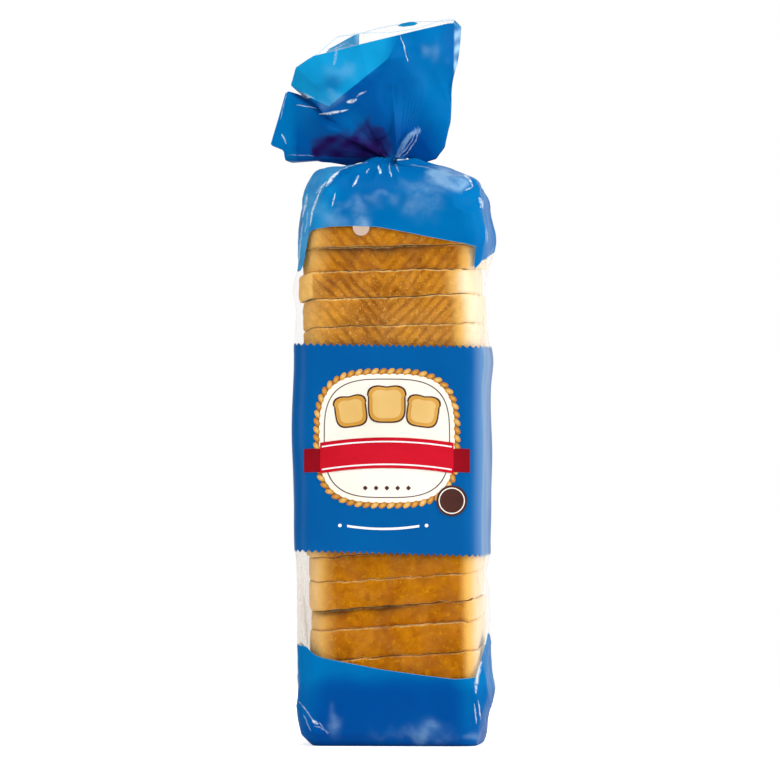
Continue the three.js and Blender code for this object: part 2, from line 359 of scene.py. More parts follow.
def foldField(points, foldList):
    # the height of the folds at each point, and how close the nearest crest is in millimetres
    height = np.zeros(points.shape[:-1])
    nearest = np.full(points.shape[:-1], 9.0)
    for facing, path, rise, width in foldList:
        direction, axis = facings[facing]
        outward = points @ direction
        distance, along = lineDistance(points[..., axis], points[..., 2], path)
        fade = np.clip(4 * along, 0, 1) * np.clip(4 * (1 - along), 0, 1)
        seen = smoothStep(2, 14, outward)
        height += rise * np.exp(-distance / width) * (0.3 + 0.7 * fade) * seen
        reach = distance + 9 * (1 - seen) + 0.6 * (1 - fade)
        nearest = np.minimum(nearest, reach)
    return height, nearest


# Where the blue print starts: its edge by column round the bag
topEdgeAt = [
    0, 3, 5, 6.6, 6.9, 7.2, 9, 10.9, 12.8, 14.7, 16.4, 18,
    19.9, 20.2, 20.5, 20.8, 21.2, 25, 28, 33, 38, 42, 48, 52, 56,
]
topEdgeOf = [
    272.5, 270.5, 268.8, 264, 266, 276.5, 278.3, 281.4, 284.6, 287.4, 288, 287.6,
    285.2, 282, 274, 267, 263, 263, 268, 279, 272, 268, 277, 274, 272.5,
]
lowEdgeAt = [0, 1.5, 5.2, 6.5, 7.2, 9.6, 11.8, 14.7, 17.2, 18.5, 19.6, 20.2, 22.5, 28, 34, 42, 50, 56]
lowEdgeOf = [62, 59, 50.5, 43.5, 38.4, 37.4, 39.6, 42.9, 46.8, 49, 52.6, 55.3, 56.2, 56, 48, 46, 53, 62]

vent = {"x": -14.8, "z": 287.2, "radius": 4.6}  # the small round pale patch below the print's edge


def printDepth(points, column):
    # how far inside the blue print each point is, in millimetres
    z = points[..., 2]
    above = z - np.interp(np.mod(column, columnsOfCad), topEdgeAt, topEdgeOf)
    below = np.interp(np.mod(column, columnsOfCad), lowEdgeAt, lowEdgeOf) - z
    return np.maximum(above, below)


# Colours, in linear light
def srgb(red, green, blue):
    values = np.array([red, green, blue]) / 255
    linear = np.where(values <= 0.04045, values / 12.92, ((values + 0.055) / 1.055) ** 2.4)
    return (*linear.tolist(), 1.0)


# Shader helpers

def addNode(tree, kind, inputs=None, **settings):
    made = tree.nodes.new(kind)
    for key, value in settings.items():
        setattr(made, key, value)
    for key, value in (inputs or {}).items():
        if isinstance(value, bpy.types.NodeSocket):
            tree.links.new(value, made.inputs[key])
        else:
            made.inputs[key].default_value = value
    return made


def calc(tree, operation, *values, clamp=False):
    made = addNode(tree, "ShaderNodeMath", dict(enumerate(values)), operation=operation, use_clamp=clamp)
    return made.outputs[0]


def plus(tree, a, b, clamp=False):
    return calc(tree, "ADD", a, b, clamp=clamp)


def minus(tree, a, b, clamp=False):
    return calc(tree, "SUBTRACT", a, b, clamp=clamp)


def times(tree, a, b, clamp=False):
    return calc(tree, "MULTIPLY", a, b, clamp=clamp)


def most(tree, a, b):
    return calc(tree, "MAXIMUM", a, b)


def ramp(tree, value, low, high, start=0.0, end=1.0):
    inputs = {"Value": value, "From Min": low, "From Max": high, "To Min": start, "To Max": end}
    made = addNode(tree, "ShaderNodeMapRange", inputs, interpolation_type="SMOOTHSTEP")
    return made.outputs["Result"]


def mixNumber(tree, factor, a, b):
    made = addNode(tree, "ShaderNodeMix", {0: factor, 2: a, 3: b}, data_type="FLOAT")
    return made.outputs[0]


def mixColour(tree, factor, a, b, blend="MIX"):
    made = addNode(tree, "ShaderNodeMix", {0: factor, 6: a, 7: b}, data_type="RGBA", blend_type=blend)
    return made.outputs[2]


def dot(tree, a, b):
    return addNode(tree, "ShaderNodeVectorMath", {0: a, 1: b}, operation="DOT_PRODUCT").outputs["Value"]


def scaleAndAdd(tree, vector, scale, added):
    made = addNode(tree, "ShaderNodeVectorMath", {0: vector, 1: scale, 2: added}, operation="MULTIPLY_ADD")
    return made.outputs["Vector"]


def readValue(tree, name):
    return addNode(tree, "ShaderNodeAttribute", attribute_name=name).outputs["Fac"]


def newGroup(name, inputs, outputs):
    group = bpy.data.node_groups.new(name, "ShaderNodeTree")
    for socket, value in inputs.items():
        kind = "NodeSocketVector" if isinstance(value, tuple) else "NodeSocketFloat"
        made = group.interface.new_socket(socket, in_out="INPUT", socket_type=kind)
        made.default_value = value
    for socket in outputs:
        group.interface.new_socket(socket, in_out="OUTPUT", socket_type="NodeSocketFloat")
    return group, addNode(group, "NodeGroupInput").outputs, addNode(group, "NodeGroupOutput").inputs


def useGroup(tree, group, **inputs):
    named = {key.replace("_", " "): value for key, value in inputs.items()}
    return addNode(tree, "ShaderNodeGroup", named, node_tree=group).outputs


def sizedNoise(tree, given, size, **settings):
    # noise in object space, its lumps as large in millimetres as the group's socket says
    where = addNode(tree, "ShaderNodeTexCoord").outputs["Object"]
    scale = calc(tree, "DIVIDE", 1000.0, given[size])
    inputs = {"Vector": where, "W": given["Seed"], "Scale": scale, **settings}
    return addNode(tree, "ShaderNodeTexNoise", inputs, noise_dimensions="4D").outputs[0]


def makeMottle():
    # soft blotches and fine specks
    settings = {"Blotch Size": 12.0, "Speck Size": 1.2, "Seed": 0.0}
    tree, given, result = newGroup("mottle", settings, ["Blotch", "Speck"])
    for socket, detail in (("Blotch", 3.0), ("Speck", 2.0)):
        noise = sizedNoise(tree, given, socket + " Size", Detail=detail, Roughness=0.55)
        tree.links.new(noise, result[socket])
    return tree


def makeCrinkle():
    # the film's soft waves with a few sharp crests, as a height in millimetres
    settings = {"Wave Size": 30.0, "Crest Size": 14.0, "Wave Height": 0.5, "Crest Height": 0.15, "Seed": 0.0}
    tree, given, result = newGroup("crinkle", settings, ["Height", "Crest"])
    wave, crest = (
        minus(tree, sizedNoise(tree, given, size, Detail=detail, Roughness=0.4, Distortion=0.3), 0.5)
        for size, detail in (("Wave Size", 1.0), ("Crest Size", 1.5))
    )
    crest = minus(tree, 1.0, times(tree, calc(tree, "ABSOLUTE", crest), 9.0), clamp=True)
    height = plus(tree, times(tree, wave, given["Wave Height"]), times(tree, crest, given["Crest Height"]))
    tree.links.new(height, result["Height"])
    tree.links.new(crest, result["Crest"])
    return tree


def makeStreak():
    # a thin bent line that thins out at both ends, in millimetres
    settings = {key: (0.0, 0.0, 0.0) for key in ("Place", "Start", "Along", "Across")}
    settings.update({"Width": 1.0, "Bend": 0.0})
    tree, given, result = newGroup("streak", settings, ["Mask"])
    inputs = {0: given["Place"], 1: given["Start"]}
    fromStart = addNode(tree, "ShaderNodeVectorMath", inputs, operation="SUBTRACT").outputs["Vector"]
    along = dot(tree, fromStart, given["Along"])
    across = dot(tree, fromStart, given["Across"])
    taper = times(tree, times(tree, along, 4.0), minus(tree, 1.0, along), clamp=True)
    offLine = calc(tree, "ABSOLUTE", minus(tree, across, times(tree, taper, given["Bend"])))
    reach = times(tree, calc(tree, "SQRT", taper), given["Width"])
    share = calc(tree, "DIVIDE", offLine, plus(tree, reach, 0.001))
    mask = calc(tree, "POWER", minus(tree, 1.0, share, clamp=True), 0.8)
    tree.links.new(mask, result["Mask"])
    return tree


# V-shaped wrinkles one above the other, swaying a little
furrowShape = {
    "pitch": 7.0,
    "slope": 1.08,  # they rise this much to each side of the middle, like a V
    "middle": -3.0,
    "sway": 0.7,
    "swayTurn": 0.11,
    "sharpness": 0.8,
    "depth": 0.22,
    "warps": [(0.16, 0.09, 0.0, 0.6), (0.1, 0.0, 0.15, 1.1), (0.07, 0.31, -0.17, 0.0)],  # size, x, z, start
}


def makeFurrow():
    shape = furrowShape
    tree, given, result = newGroup("furrow", {"Pitch": 7.0, "Slope": 1.0, "Middle": 0.0}, ["Furrow", "Wave"])
    where = addNode(tree, "ShaderNodeTexCoord").outputs["Object"]
    where = scaleAndAdd(tree, where, (1000.0,) * 3, (0.0,) * 3)
    split = addNode(tree, "ShaderNodeSeparateXYZ", {"Vector": where}).outputs
    sway = times(tree, calc(tree, "SINE", times(tree, split["Z"], shape["swayTurn"])), shape["sway"])
    side = minus(tree, minus(tree, split["X"], given["Middle"]), sway)
    fall = times(tree, calc(tree, "ABSOLUTE", side), given["Slope"])
    phase = calc(tree, "DIVIDE", minus(tree, split["Z"], fall), given["Pitch"])
    for size, byX, byZ, start in shape["warps"]:
        turn = plus(tree, dot(tree, where, (byX, 0.0, byZ)), start)
        phase = plus(tree, phase, times(tree, calc(tree, "SINE", turn), size))
    wave = calc(tree, "SINE", times(tree, phase, 2 * math.pi))
    furrow = calc(tree, "POWER", most(tree, wave, 0.0), shape["sharpness"])
    tree.links.new(furrow, result["Furrow"])
    tree.links.new(wave, result["Wave"])
    return tree


mottleGroup = makeMottle()
crinkleGroup = makeCrinkle()
streakGroup = makeStreak()
furrowGroup = makeFurrow()


def furrowAt(x, z):
    # the same furrows, for the relief of the mesh
    shape = furrowShape
    side = np.abs(x - shape["middle"] - shape["sway"] * np.sin(z * shape["swayTurn"]))
    phase = (z - shape["slope"] * side) / shape["pitch"]
    for size, byX, byZ, start in shape["warps"]:
        phase = phase + size * np.sin(byX * x + byZ * z + start)
    return np.maximum(np.sin(2 * math.pi * phase), 0) ** shape["sharpness"]


def newMaterial(name, **constants):
    material = bpy.data.materials.new(name)
    material.use_nodes = True
    shader = material.node_tree.nodes["Principled BSDF"]
    for key, value in constants.items():
        shader.inputs[key.replace("_", " ")].default_value = value
    return material, material.node_tree, shader


def linkBump(tree, shader, height, strength=1.0):
    bump = addNode(tree, "ShaderNodeBump", {"Height": height, "Strength": strength, "Distance": mm})
    tree.links.new(bump.outputs[0], shader.inputs["Normal"])
    return bump.outputs[0]


# The film: clear, with blue ink where the print is
filmLooks = {
    "clear": srgb(250, 249, 247),
    "inkShadeLine": srgb(12, 8, 40),
    "inkDeep": srgb(38, 18, 84),
    "inkDark": srgb(0, 74, 150),
    "ink": srgb(0, 110, 176),
    "inkLit": srgb(16, 150, 206),
    "inkSheenAndRim": srgb(158, 200, 230),
    "inkEdge": srgb(60, 160, 205),
    "vent": srgb(216, 192, 176),
    "veil": srgb(246, 237, 224),
    "foldShade": srgb(150, 126, 96),
    "creaseAndGlintWhite": srgb(236, 246, 252),
    "clearAlpha": 0.002,
    "rimAlpha": 0.16,
    "shine": 0.02,
    "clearRoughness": 0.12,
    "inkRoughness": 0.34,
    "drift": 2.2,  # how far the streaks wander, in millimetres
}

# Streaks of light along the creases of the front: start (x, z), end, half width, bend, strength
topStreaks = [
    ((-13.5, 324), (-28.7, 318.5), 0.55, -1.0, 0.7),
    ((-28.0, 318.5), (-34.5, 309.8), 1.5, -0.4, 1.0),
    ((-36.5, 310), (-43.2, 287.5), 0.8, -1.2, 0.75),
    ((-34.5, 313), (-40.5, 306), 0.7, 0.3, 0.7),
    ((-16.5, 316), (-19.6, 309.8), 0.8, 0.2, 1.0),
    ((-11.4, 320), (-12.8, 316.8), 0.5, 0.0, 0.6),
    ((-6.6, 322), (-5.0, 316.8), 0.85, 0.4, 1.0),
    ((-1.0, 323.5), (1.8, 315), 0.6, -0.4, 0.65),
    ((2.2, 323), (5.6, 318), 0.5, 0.2, 0.45),
    ((-29.2, 306.5), (-31.2, 298.5), 0.5, 0.2, 0.8),
    ((-45.5, 306), (-47.8, 293), 1.1, 0.0, 0.6),
    ((-47.6, 291), (-50.4, 267), 0.8, 0.3, 0.45),
    ((-44.5, 296), (-46.2, 284), 0.5, 0.2, 0.4),
    ((39.5, 317.5), (46.4, 309.8), 0.75, 1.2, 0.8),
    ((46.6, 310.4), (42.3, 307.6), 0.5, 0.3, 0.6),
    ((10, 322.5), (24, 319.5), 0.5, 0.5, 0.35),
    ((49.9, 304), (51.0, 298), 0.8, 0.4, 0.7),
    ((53.6, 290), (54.4, 277), 0.7, 0.3, 0.6),
]
lowStreaks = [
    ((-50.0, 25), (-40.3, 12.4), 0.6, 0.4, 0.45),
    ((-42.0, 14.4), (-38.4, 12.2), 1.0, 0.0, 0.8),
    ((-41, 11.4), (-32.4, 7.8), 0.6, 0.2, 0.35),
    ((-38.3, 13.2), (-33, 7), 0.5, 0.0, 0.35),
    ((-47.5, 17.5), (-42.6, 8.5), 0.5, 0.3, 0.3),
    ((51.6, 47), (48.6, 29.5), 1.3, -0.8, 0.75),
    ((50.0, 26), (50.8, 14.5), 0.5, 0.2, 0.8),
    ((47.6, 24), (48.8, 12.5), 0.5, 0.1, 0.6),
]
tailStreaks = [
    ((-56.5, 364.6), (-43.6, 360), 0.5, 0.2, 0.6),
    ((-52.8, 362.4), (-46.4, 360.4), 1.2, 0.0, 1.0),
    ((-54, 356.2), (-42, 353.8), 0.4, 0.3, 0.8),
    ((-41.2, 350.8), (-24, 353.6), 0.8, -0.5, 1.0),
    ((-25.2, 357.6), (-19.6, 358.8), 1.2, 0.0, 1.0),
    ((-20, 359.8), (-13.8, 364), 0.6, 0.3, 0.65),
    ((4.0, 396.6), (8.8, 380), 0.45, 0.3, 0.8),
    ((-31.4, 388), (-32.2, 378), 1.1, 0.3, 0.22),
    ((-62.4, 340.4), (-59.8, 334.4), 0.6, 0.2, 0.7),
    ((-59.4, 328.4), (-43.8, 327.6), 0.4, 0.2, 0.35),
    ((-59.6, 363), (-63, 348), 0.5, 0.0, 0.3),
    ((31.2, 362), (33.2, 377), 0.6, 0.0, 0.4),
    ((35.0, 398.6), (35.8, 380), 0.45, 0.3, 0.7),
    ((-44, 385.4), (-22, 394.6), 0.45, 0.4, 0.6),
    ((-41, 384.8), (-24, 391), 0.4, -0.2, 0.6),
    ((14.8, 343.0), (2.8, 325.4), 0.4, 1.8, 0.5),
    ((12.6, 341.8), (0.9, 326.4), 0.4, 1.8, 0.5),
]
# Painted shade: dark lines where the film is folded under itself, and one at the loaf's left edge near the
# bottom
lowShades = [((-46.8, 84), (-44.6, 56), 1.8, 0.0, 0.8)]
tailShades = [
    ((-23, 336), (-5.5, 325.6), 1.4, 0.6, 0.85),
    ((-14, 344), (-8, 333), 1.2, 0.3, 0.35),
    ((10, 338), (4.4, 325.6), 1.0, 0.4, 0.4),
]


def addStreaks(tree, place, streaks):
    # the strongest of the streaks at each point
    total = 0.0
    for (x0, z0), (x1, z1), width, bend, strength in streaks:
        length = math.hypot(x1 - x0, z1 - z0)
        ux, uz = (x1 - x0) / length, (z1 - z0) / length
        settings = {"Start": (x0, 0, z0), "Along": (ux / length, 0, uz / length), "Across": (-uz, 0, ux)}
        mask = useGroup(tree, streakGroup, Place=place, Width=width, Bend=bend, **settings)["Mask"]
        total = most(tree, total, times(tree, mask, strength))
    return total


filmValues = (
    "printDepth", "crease", "facet", "facetShare", "shade", "deep", "veil", "vent", "sheen", "front", "mouth",
)


def filmMaterial(name, waveHeight, crestHeight, seed, streaks, shades):
    looks = filmLooks
    material, tree, shader = newMaterial(name, IOR=1.5, Specular_IOR_Level=looks["shine"])
    given = (readValue(tree, key) for key in filmValues)
    inside, crease, facet, facetShare, shade, deep, veil, vent, sheen, front, mouth = given
    mottle = useGroup(tree, mottleGroup, Blotch_Size=26.0, Speck_Size=5.0, Seed=seed)
    fine = useGroup(tree, mottleGroup, Blotch_Size=9.0, Speck_Size=2.2, Seed=seed + 3)
    heights = {"Wave_Height": waveHeight, "Crest_Height": crestHeight}
    crinkle = useGroup(tree, crinkleGroup, Wave_Size=34.0, Crest_Size=24.0, Seed=seed, **heights)
    where = addNode(tree, "ShaderNodeTexCoord").outputs["Object"]
    inputs = {"Vector": where, "Scale": 160.0, "Detail": 3.0}
    drift = addNode(tree, "ShaderNodeTexNoise", inputs).outputs["Color"]
    drift = scaleAndAdd(tree, drift, (looks["drift"],) * 3, (-looks["drift"] / 2,) * 3)
    place = scaleAndAdd(tree, where, (1000.0,) * 3, drift)
    uneven = ramp(tree, fine["Speck"], 0.34, 0.58, 0.3, 1.0)
    streak = times(tree, times(tree, addStreaks(tree, place, streaks), front), uneven)
    # painted shade lines in the folds, dark on the print and on the clear film
    shadeLines = times(tree, addStreaks(tree, place, shades), front)

    printed = ramp(tree, inside, -0.12, 0.12)
    cloud = times(tree, minus(tree, mottle["Blotch"], 0.5), 0.7)
    ink = mixColour(tree, ramp(tree, plus(tree, shade, cloud), 0.0, 1.0), looks["inkDark"], looks["ink"])
    # painted light: the lit facets in a lighter blue
    inFacet = times(tree, ramp(tree, facet, -0.15, 0.15), facetShare)
    ink = mixColour(tree, inFacet, ink, looks["inkLit"])
    # darker where layers of film lie together, and painted shade in the deep folds by the tie
    ink = mixColour(tree, deep, ink, looks["inkDeep"])
    # painted sheen, broken into patches, in a pale blue
    patches = ramp(tree, fine["Blotch"], 0.36, 0.62, 0.45, 1.2)
    patchy = times(tree, sheen, patches, clamp=True)
    ink = mixColour(tree, patchy, ink, looks["inkSheenAndRim"])
    ink = mixColour(tree, times(tree, ramp(tree, inside, 0.45, 0.1), 0.5), ink, looks["inkEdge"])
    ink = mixColour(tree, shadeLines, ink, looks["inkShadeLine"])
    # painted highlights: pale crease lines, partly whitened film and partly gloss, and the streaks of light,
    # in near white
    broken = ramp(tree, mottle["Speck"], 0.36, 0.66, 0.1, 1.0)
    creaseAndGlint = times(tree, ramp(tree, crease, 1.4, 0.1), broken)
    creaseAndGlint = most(tree, times(tree, creaseAndGlint, 0.3), streak)
    ink = mixColour(tree, creaseAndGlint, ink, looks["creaseAndGlintWhite"])
    clear = mixColour(tree, ramp(tree, veil, 0.0, 0.4), looks["clear"], looks["veil"])
    vented = ramp(tree, vent, 0.3, -0.3)
    clear = mixColour(tree, vented, clear, looks["vent"])
    clear = mixColour(tree, shadeLines, clear, looks["foldShade"])
    atMouth = ramp(tree, mouth, 0.7, 0.3)
    clear = mixColour(tree, atMouth, clear, looks["inkSheenAndRim"])
    tree.links.new(mixColour(tree, printed, clear, ink), shader.inputs["Base Color"])
    ridge = times(tree, plus(tree, ramp(tree, crease, 1.2, 0.0), streak), 0.3)
    normal = linkBump(tree, shader, plus(tree, crinkle["Height"], ridge))
    rim = addNode(tree, "ShaderNodeLayerWeight", {"Blend": 0.5, "Normal": normal}).outputs["Facing"]
    rim = times(tree, calc(tree, "POWER", rim, 2.6), looks["rimAlpha"])
    glint = plus(tree, times(tree, creaseAndGlint, 0.5), times(tree, crinkle["Crest"], 0.01))
    milky = times(tree, veil, ramp(tree, mottle["Speck"], 0.2, 0.7, 0.8, 1.1))
    milky = most(tree, milky, times(tree, atMouth, 0.6))
    milky = most(tree, milky, times(tree, vented, 0.8))
    clearAlpha = plus(tree, plus(tree, rim, glint), plus(tree, milky, looks["clearAlpha"]))
    clearAlpha = plus(tree, clearAlpha, times(tree, shadeLines, 0.6), clamp=True)
    tree.links.new(mixNumber(tree, printed, clearAlpha, 1.0), shader.inputs["Alpha"])
    rough = mixNumber(tree, printed, looks["clearRoughness"], looks["inkRoughness"])
    rough = minus(tree, rough, times(tree, creaseAndGlint, 0.05))
    tree.links.new(rough, shader.inputs["Roughness"])
    return material


# The bag: one film round the loaf, over the shoulder and up through the tie
bagGrid = {
    "columns": 300,
    "frontWeight": 1.5,
    "bodyRows": 165,
    "bottomRows": 10,
    "shoulderRows": 44,
    "crownRows": 9,
    "neckRows": 5,
    "baseRings": ((14.0, 6.0), (30.0, 8.0)),  # half width and corner of the rings that close the base
}
wrinkle = {
    "soft": 0.32,
    "softSize": (30, 30, 42),
    "sharp": 0.22,
    "sharpSize": (26, 26, 34),
    "window": (60, 262),  # between these heights the film is clear and lies flatter
    "windowShare": 0.4,
    "pleats": 34,
    "pleat": 1.5,
}
# painted sheen: soft patches of reflected light on the printed front: place, reach, strength
sheenPatches = [
    ((20, 309), (11, 4), 0.24),
    ((18.5, 300), (8, 6.5), 0.24),
    ((-3.5, 303), (8, 3), 0.15),
    ((-16, 297), (4, 7), 0.26),
    ((-13.8, 291), (4, 3.5), 0.42),
    ((-20, 300), (8, 3), 0.13),
    ((-31, 291), (8, 4), 0.2),
    ((-38, 297), (4, 7), 0.1),
    ((-29.8, 13.4), (2.6, 6.8), 0.25),
    ((21, 7.6), (9, 5), 0.27),
    ((15, 6), (18, 2.6), 0.16),
    ((48.5, 5.5), (4, 2), 0.2),
]
# a big painted sheen of reflected light on the right of the shoulder: its outline
bigSheen = [(19, 319.6), (22, 322), (43.2, 316.5), (45.5, 310.3), (41.6, 304.8), (21.3, 312.6)]
cloudLooks = {"warp": 1.9, "warpSize": 13, "strength": 0.44, "low": -1.5, "high": 3.5}
# how milky the clear film is at its left and right corners, and on the right a painted glare where the film
# turns round the corner: heights, and the strength at each
veilLeft = ([40, 60, 105, 225, 240], [0.42, 0.42, 0.3, 0.0, 0.0])
veilAndGlareRight = ([60, 100, 225, 280], [0.2, 0.2, 0.3, 0.2])
# the line down from the neck to the left shoulder; the film left of it is painted lighter, as a facet lit by
# the lamps
leftFacet = [(-18, 326), (-29, 318.5), (-34.5, 311), (-38.5, 303), (-41.5, 295), (-43.5, 286), (-44.5, 270)]


def warped(grid, seed):
    # x and z of the points, pushed about so that patches laid on them get uneven outlines
    looks = cloudLooks
    x = grid[..., 0] + looks["warp"] * softNoise(grid, looks["warpSize"], seed)
    z = grid[..., 2] + looks["warp"] * softNoise(grid, looks["warpSize"], seed + 1)
    return x, z


def ellipses(x, z, patches, power=3):
    # the strongest of the soft-edged ellipses at each point
    total = np.zeros(x.shape)
    for (cx, cz), (rx, rz), strength in patches:
        reach = np.hypot((x - cx) / rx, (z - cz) / rz)
        total = np.maximum(total, strength * np.exp(-(reach ** power)))
    return total


def pleatWave(column, count, seed):
    # a sharp zigzag round the neck, uneven in step and depth
    turn = column / columnsOfCad * 2 * math.pi
    uneven = 0.9 * np.sin(3 * turn + seed) + 0.6 * np.sin(7 * turn + 2 * seed)
    wave = np.abs(np.mod(count * turn / (2 * math.pi) + uneven, 1) * 2 - 1) * 2 - 1
    return wave * (0.65 + 0.35 * np.sin(5 * turn + seed))


def buildBag():
    column = evenColumns(bagGrid["columns"], bagGrid["frontWeight"])
    flat = np.zeros_like(column)
    rows = [np.stack([*sectionPoint(column, *ring), flat], axis=-1) for ring in bagGrid["baseRings"]]
    rows += [bottomPoints(turn, column) for turn in np.linspace(0, 1, bagGrid["bottomRows"], endpoint=False)]
    heights = np.linspace(bagShape["edgeHeight"], bagShape["start"], bagGrid["bodyRows"])
    rows += [bodyPoints(np.full_like(column, height), column) for height in heights]
    closes = [0.0] * len(rows)
    parts = np.linspace(0, 1, bagGrid["shoulderRows"] + 1)
    nearTie = np.linspace(parts[-4], 1, bagGrid["crownRows"] + 1)
    for part in np.concatenate([parts[1:-3], nearTie[1:]]):
        points, close = shoulderPoints(part, column)
        rows.append(points)
        closes.append(close)
    turn = column / columnsOfCad * 2 * math.pi
    for height in np.linspace(bagShape["neckLow"], bagShape["neckHigh"], bagGrid["neckRows"])[1:]:
        ring = bagShape["neckRadius"]
        rows.append(np.stack([ring * np.cos(turn), -ring * np.sin(turn), flat + height], axis=-1))
        closes.append(1.0)
    grid = np.array(rows)
    close = np.array(closes)[:, None]
    normal = gridNormals(grid)
    fold, crease = foldField(grid, folds)
    soft = softNoise(grid, wrinkle["softSize"], 3) * wrinkle["soft"]
    inWindow = (grid[..., 2] > wrinkle["window"][0]) & (grid[..., 2] < wrinkle["window"][1])
    sharp = ridgeNoise(grid, wrinkle["sharpSize"], 8) * wrinkle["sharp"]
    sharp = sharp * np.where(inWindow, wrinkle["windowShare"], 1.0)
    pleat = pleatWave(column, wrinkle["pleats"], 1.3)[None, :] * wrinkle["pleat"]
    pleat = pleat * smoothStep(0.25, 0.95, close) * np.where(close > 0.99, 0.35, 1.0)
    onFloor = smoothStep(0.2, 9.0, grid[..., 2])
    push = (fold + soft + sharp) * onFloor * (1 - 0.8 * smoothStep(0.7, 1.0, close)) + pleat
    grid = grid + normal * push[..., None]
    grid[:3, :, 2] = np.maximum(grid[:3, :, 2], 0)
    depth = printDepth(grid, column[None, :])
    x, y, z = grid[..., 0], grid[..., 1], grid[..., 2]
    onFront = y < -30
    ring = np.hypot(x - vent["x"], z - vent["z"]) - vent["radius"] + np.where(onFront, 0, 99)
    front = smoothStep(4, 0, y - np.interp(z, [290, 318], [-34, -3]))
    shade = 0.75 * smoothStep(120, 280, z) + 0.95 * smoothStep(27, 47, z) * (z < 120)
    shade = shade + 0.1 * softNoise(grid, 45, 21)
    shade = shade + 0.45 * smoothStep(32, 46, np.abs(x)) * smoothStep(80, 40, z)
    # painted sheen: the patches and the big one, with uneven outlines
    warpedX, warpedZ = warped(grid, 51)
    cloud = insideDistance(warpedX, warpedZ, bigSheen)
    cloud = cloudLooks["strength"] * smoothStep(cloudLooks["low"], cloudLooks["high"], cloud)
    sheen = np.maximum(ellipses(warpedX, warpedZ, sheenPatches, 2.4), cloud) * front
    # painted light: the film left of the line, and a patch beside it, is lighter as if facing the lamps, with
    # a little sheen
    lineX, lineZ = zip(*leftFacet[::-1])
    facetLine = np.interp(z, lineZ, lineX)
    leftOfLine = smoothStep(-0.6, 0.6, facetLine - x) * (z > 262) * front
    besideLine = 0.5 * smoothStep(-24, -35, x) * smoothStep(282, 290, z) * smoothStep(314, 306, z) * front
    patchy = np.clip(0.85 + 0.4 * softNoise(grid, (10, 10, 16), 57), 0, 1)
    facetShare = np.maximum(0.6 * leftOfLine, besideLine) * patchy
    sheen = np.maximum(sheen, 0.14 * leftOfLine)
    veil = smoothStep(-44, -50, x) * np.interp(z, *veilLeft)
    # on the right the veil is partly a painted glare
    veil = veil + smoothStep(44, 52, x) * np.interp(z, *veilAndGlareRight)
    faces = gridFaces(*grid.shape[:2])
    faces.append(list(range(len(column))))
    none = np.zeros_like(depth)  # none + 9 means far from any line
    crease = np.where(onFront | (z > 290) & (y < 0), 9.0, crease)
    numbers = (depth, crease, none + 9, facetShare, shade, none, veil, ring, sheen, front, none + 9)
    bag = makeMesh("bag_film", grid, faces, dict(zip(filmValues, numbers)))
    bag.data.materials.append(filmMaterial("printedFilm", 0.3, 0.12, 2.0, topStreaks + lowStreaks, lowShades))
    return bag


# The tail above the tie: fold lines from the neck to the mouth
tailRibs = [
    # column, points on the way as (share, x, y, z), mouth
    (
        0,
        [
            (0.12, 15.5, 0, 323.8),
            (0.2, 23.6, 0, 326.2),
            (0.3, 28.2, 0, 333),
            (0.45, 30.9, 0, 345.5),
            (0.78, 35, 0, 379),
        ],
        (37.4, 1, 400),
    ),
    (3, [], (31.2, -8, 404.5)),
    (7, [], (14, -14, 398.8)),
    (11, [(0.8, -1, -18, 381.6)], (-2, -13, 396)),
    (14, [(0.35, -1, -6, 340), (0.72, -13, -21, 372)], (-20, -15, 396)),
    (16, [(0.35, -5, -5, 338), (0.66, -20, -21, 367)], (-31, -14, 394.5)),
    (18, [(0.35, -9, -4, 337), (0.63, -25.7, -21, 362)], (-42, -16, 384.5)),
    (20, [(0.35, -12, -5, 335), (0.61, -32.4, -20, 356.6)], (-53.5, -15, 377)),
    (22, [(0.35, -14, -8, 333), (0.68, -38.5, -18, 353)], (-57, -11, 367.3)),
    (23, [(0.35, -16, -8.5, 332), (0.6, -31, -14.5, 346), (0.82, -42, -12, 356.5)], (-50, -3, 361)),
    (24, [(0.5, -36, -15, 343)], (-59.6, -11, 364)),
    (25.6, [(0.4, -27, -9, 331)], (-68.4, -10, 334)),
    (26.6, [(0.4, -27, -7, 328)], (-61.2, -9, 331)),
    (27.2, [(0.4, -27, -5, 326)], (-60.6, -7, 326.2)),
    (28, [(0.12, -13, 0, 325.2), (0.32, -26, 0, 322.6), (0.62, -43, 0, 325.4)], (-57, 0, 324.2)),
    (30, [(0.4, -27, 9, 330)], (-60, 10, 331)),
    (33, [], (-57, 15, 352)),
    (36, [], (-50, 12, 372)),
    (39, [], (-38, 18, 388.5)),
    (42, [], (-24, 13, 396)),
    (45, [], (-8, 19, 401)),
    (48, [], (8, 15, 403.4)),
    (51, [], (22, 17, 404)),
    (54, [], (33, 8, 404.5)),
]
tailFolds = [
    ("front", [(3.9, 396.6), (9, 380.4)], 0.5, 1.2),
    ("front", [(-57, 359), (-45, 352), (-34, 352.5)], 0.8, 2.0),
    ("front", [(-40, 351), (-26, 353.5), (-18, 360)], 0.8, 2.0),
    ("front", [(-62, 352), (-52, 352), (-41, 351)], 0.5, 1.4),
    ("front", [(-52, 388), (-47, 382), (-45, 374)], 0.4, 1.6),
    ("front", [(-48, 346), (-60, 336), (-62, 331)], 0.6, 1.6),
    ("front", [(28, 372), (26, 352), (17, 334)], 0.5, 2.2),
    ("front", [(35, 392), (36.5, 384), (34, 374)], 0.6, 1.4),
    ("front", [(-52, 330), (-40, 327), (-20, 327)], 0.4, 2.0),
    ("back", [(5, 395), (0, 360), (2, 335)], 0.6, 2.2),
    ("back", [(-30, 385), (-18, 355), (-6, 333)], 0.7, 2.2),
    ("back", [(25, 395), (16, 362), (6, 335)], 0.6, 2.2),
    ("back", [(-52, 360), (-34, 345), (-14, 331)], 0.7, 2.2),
]
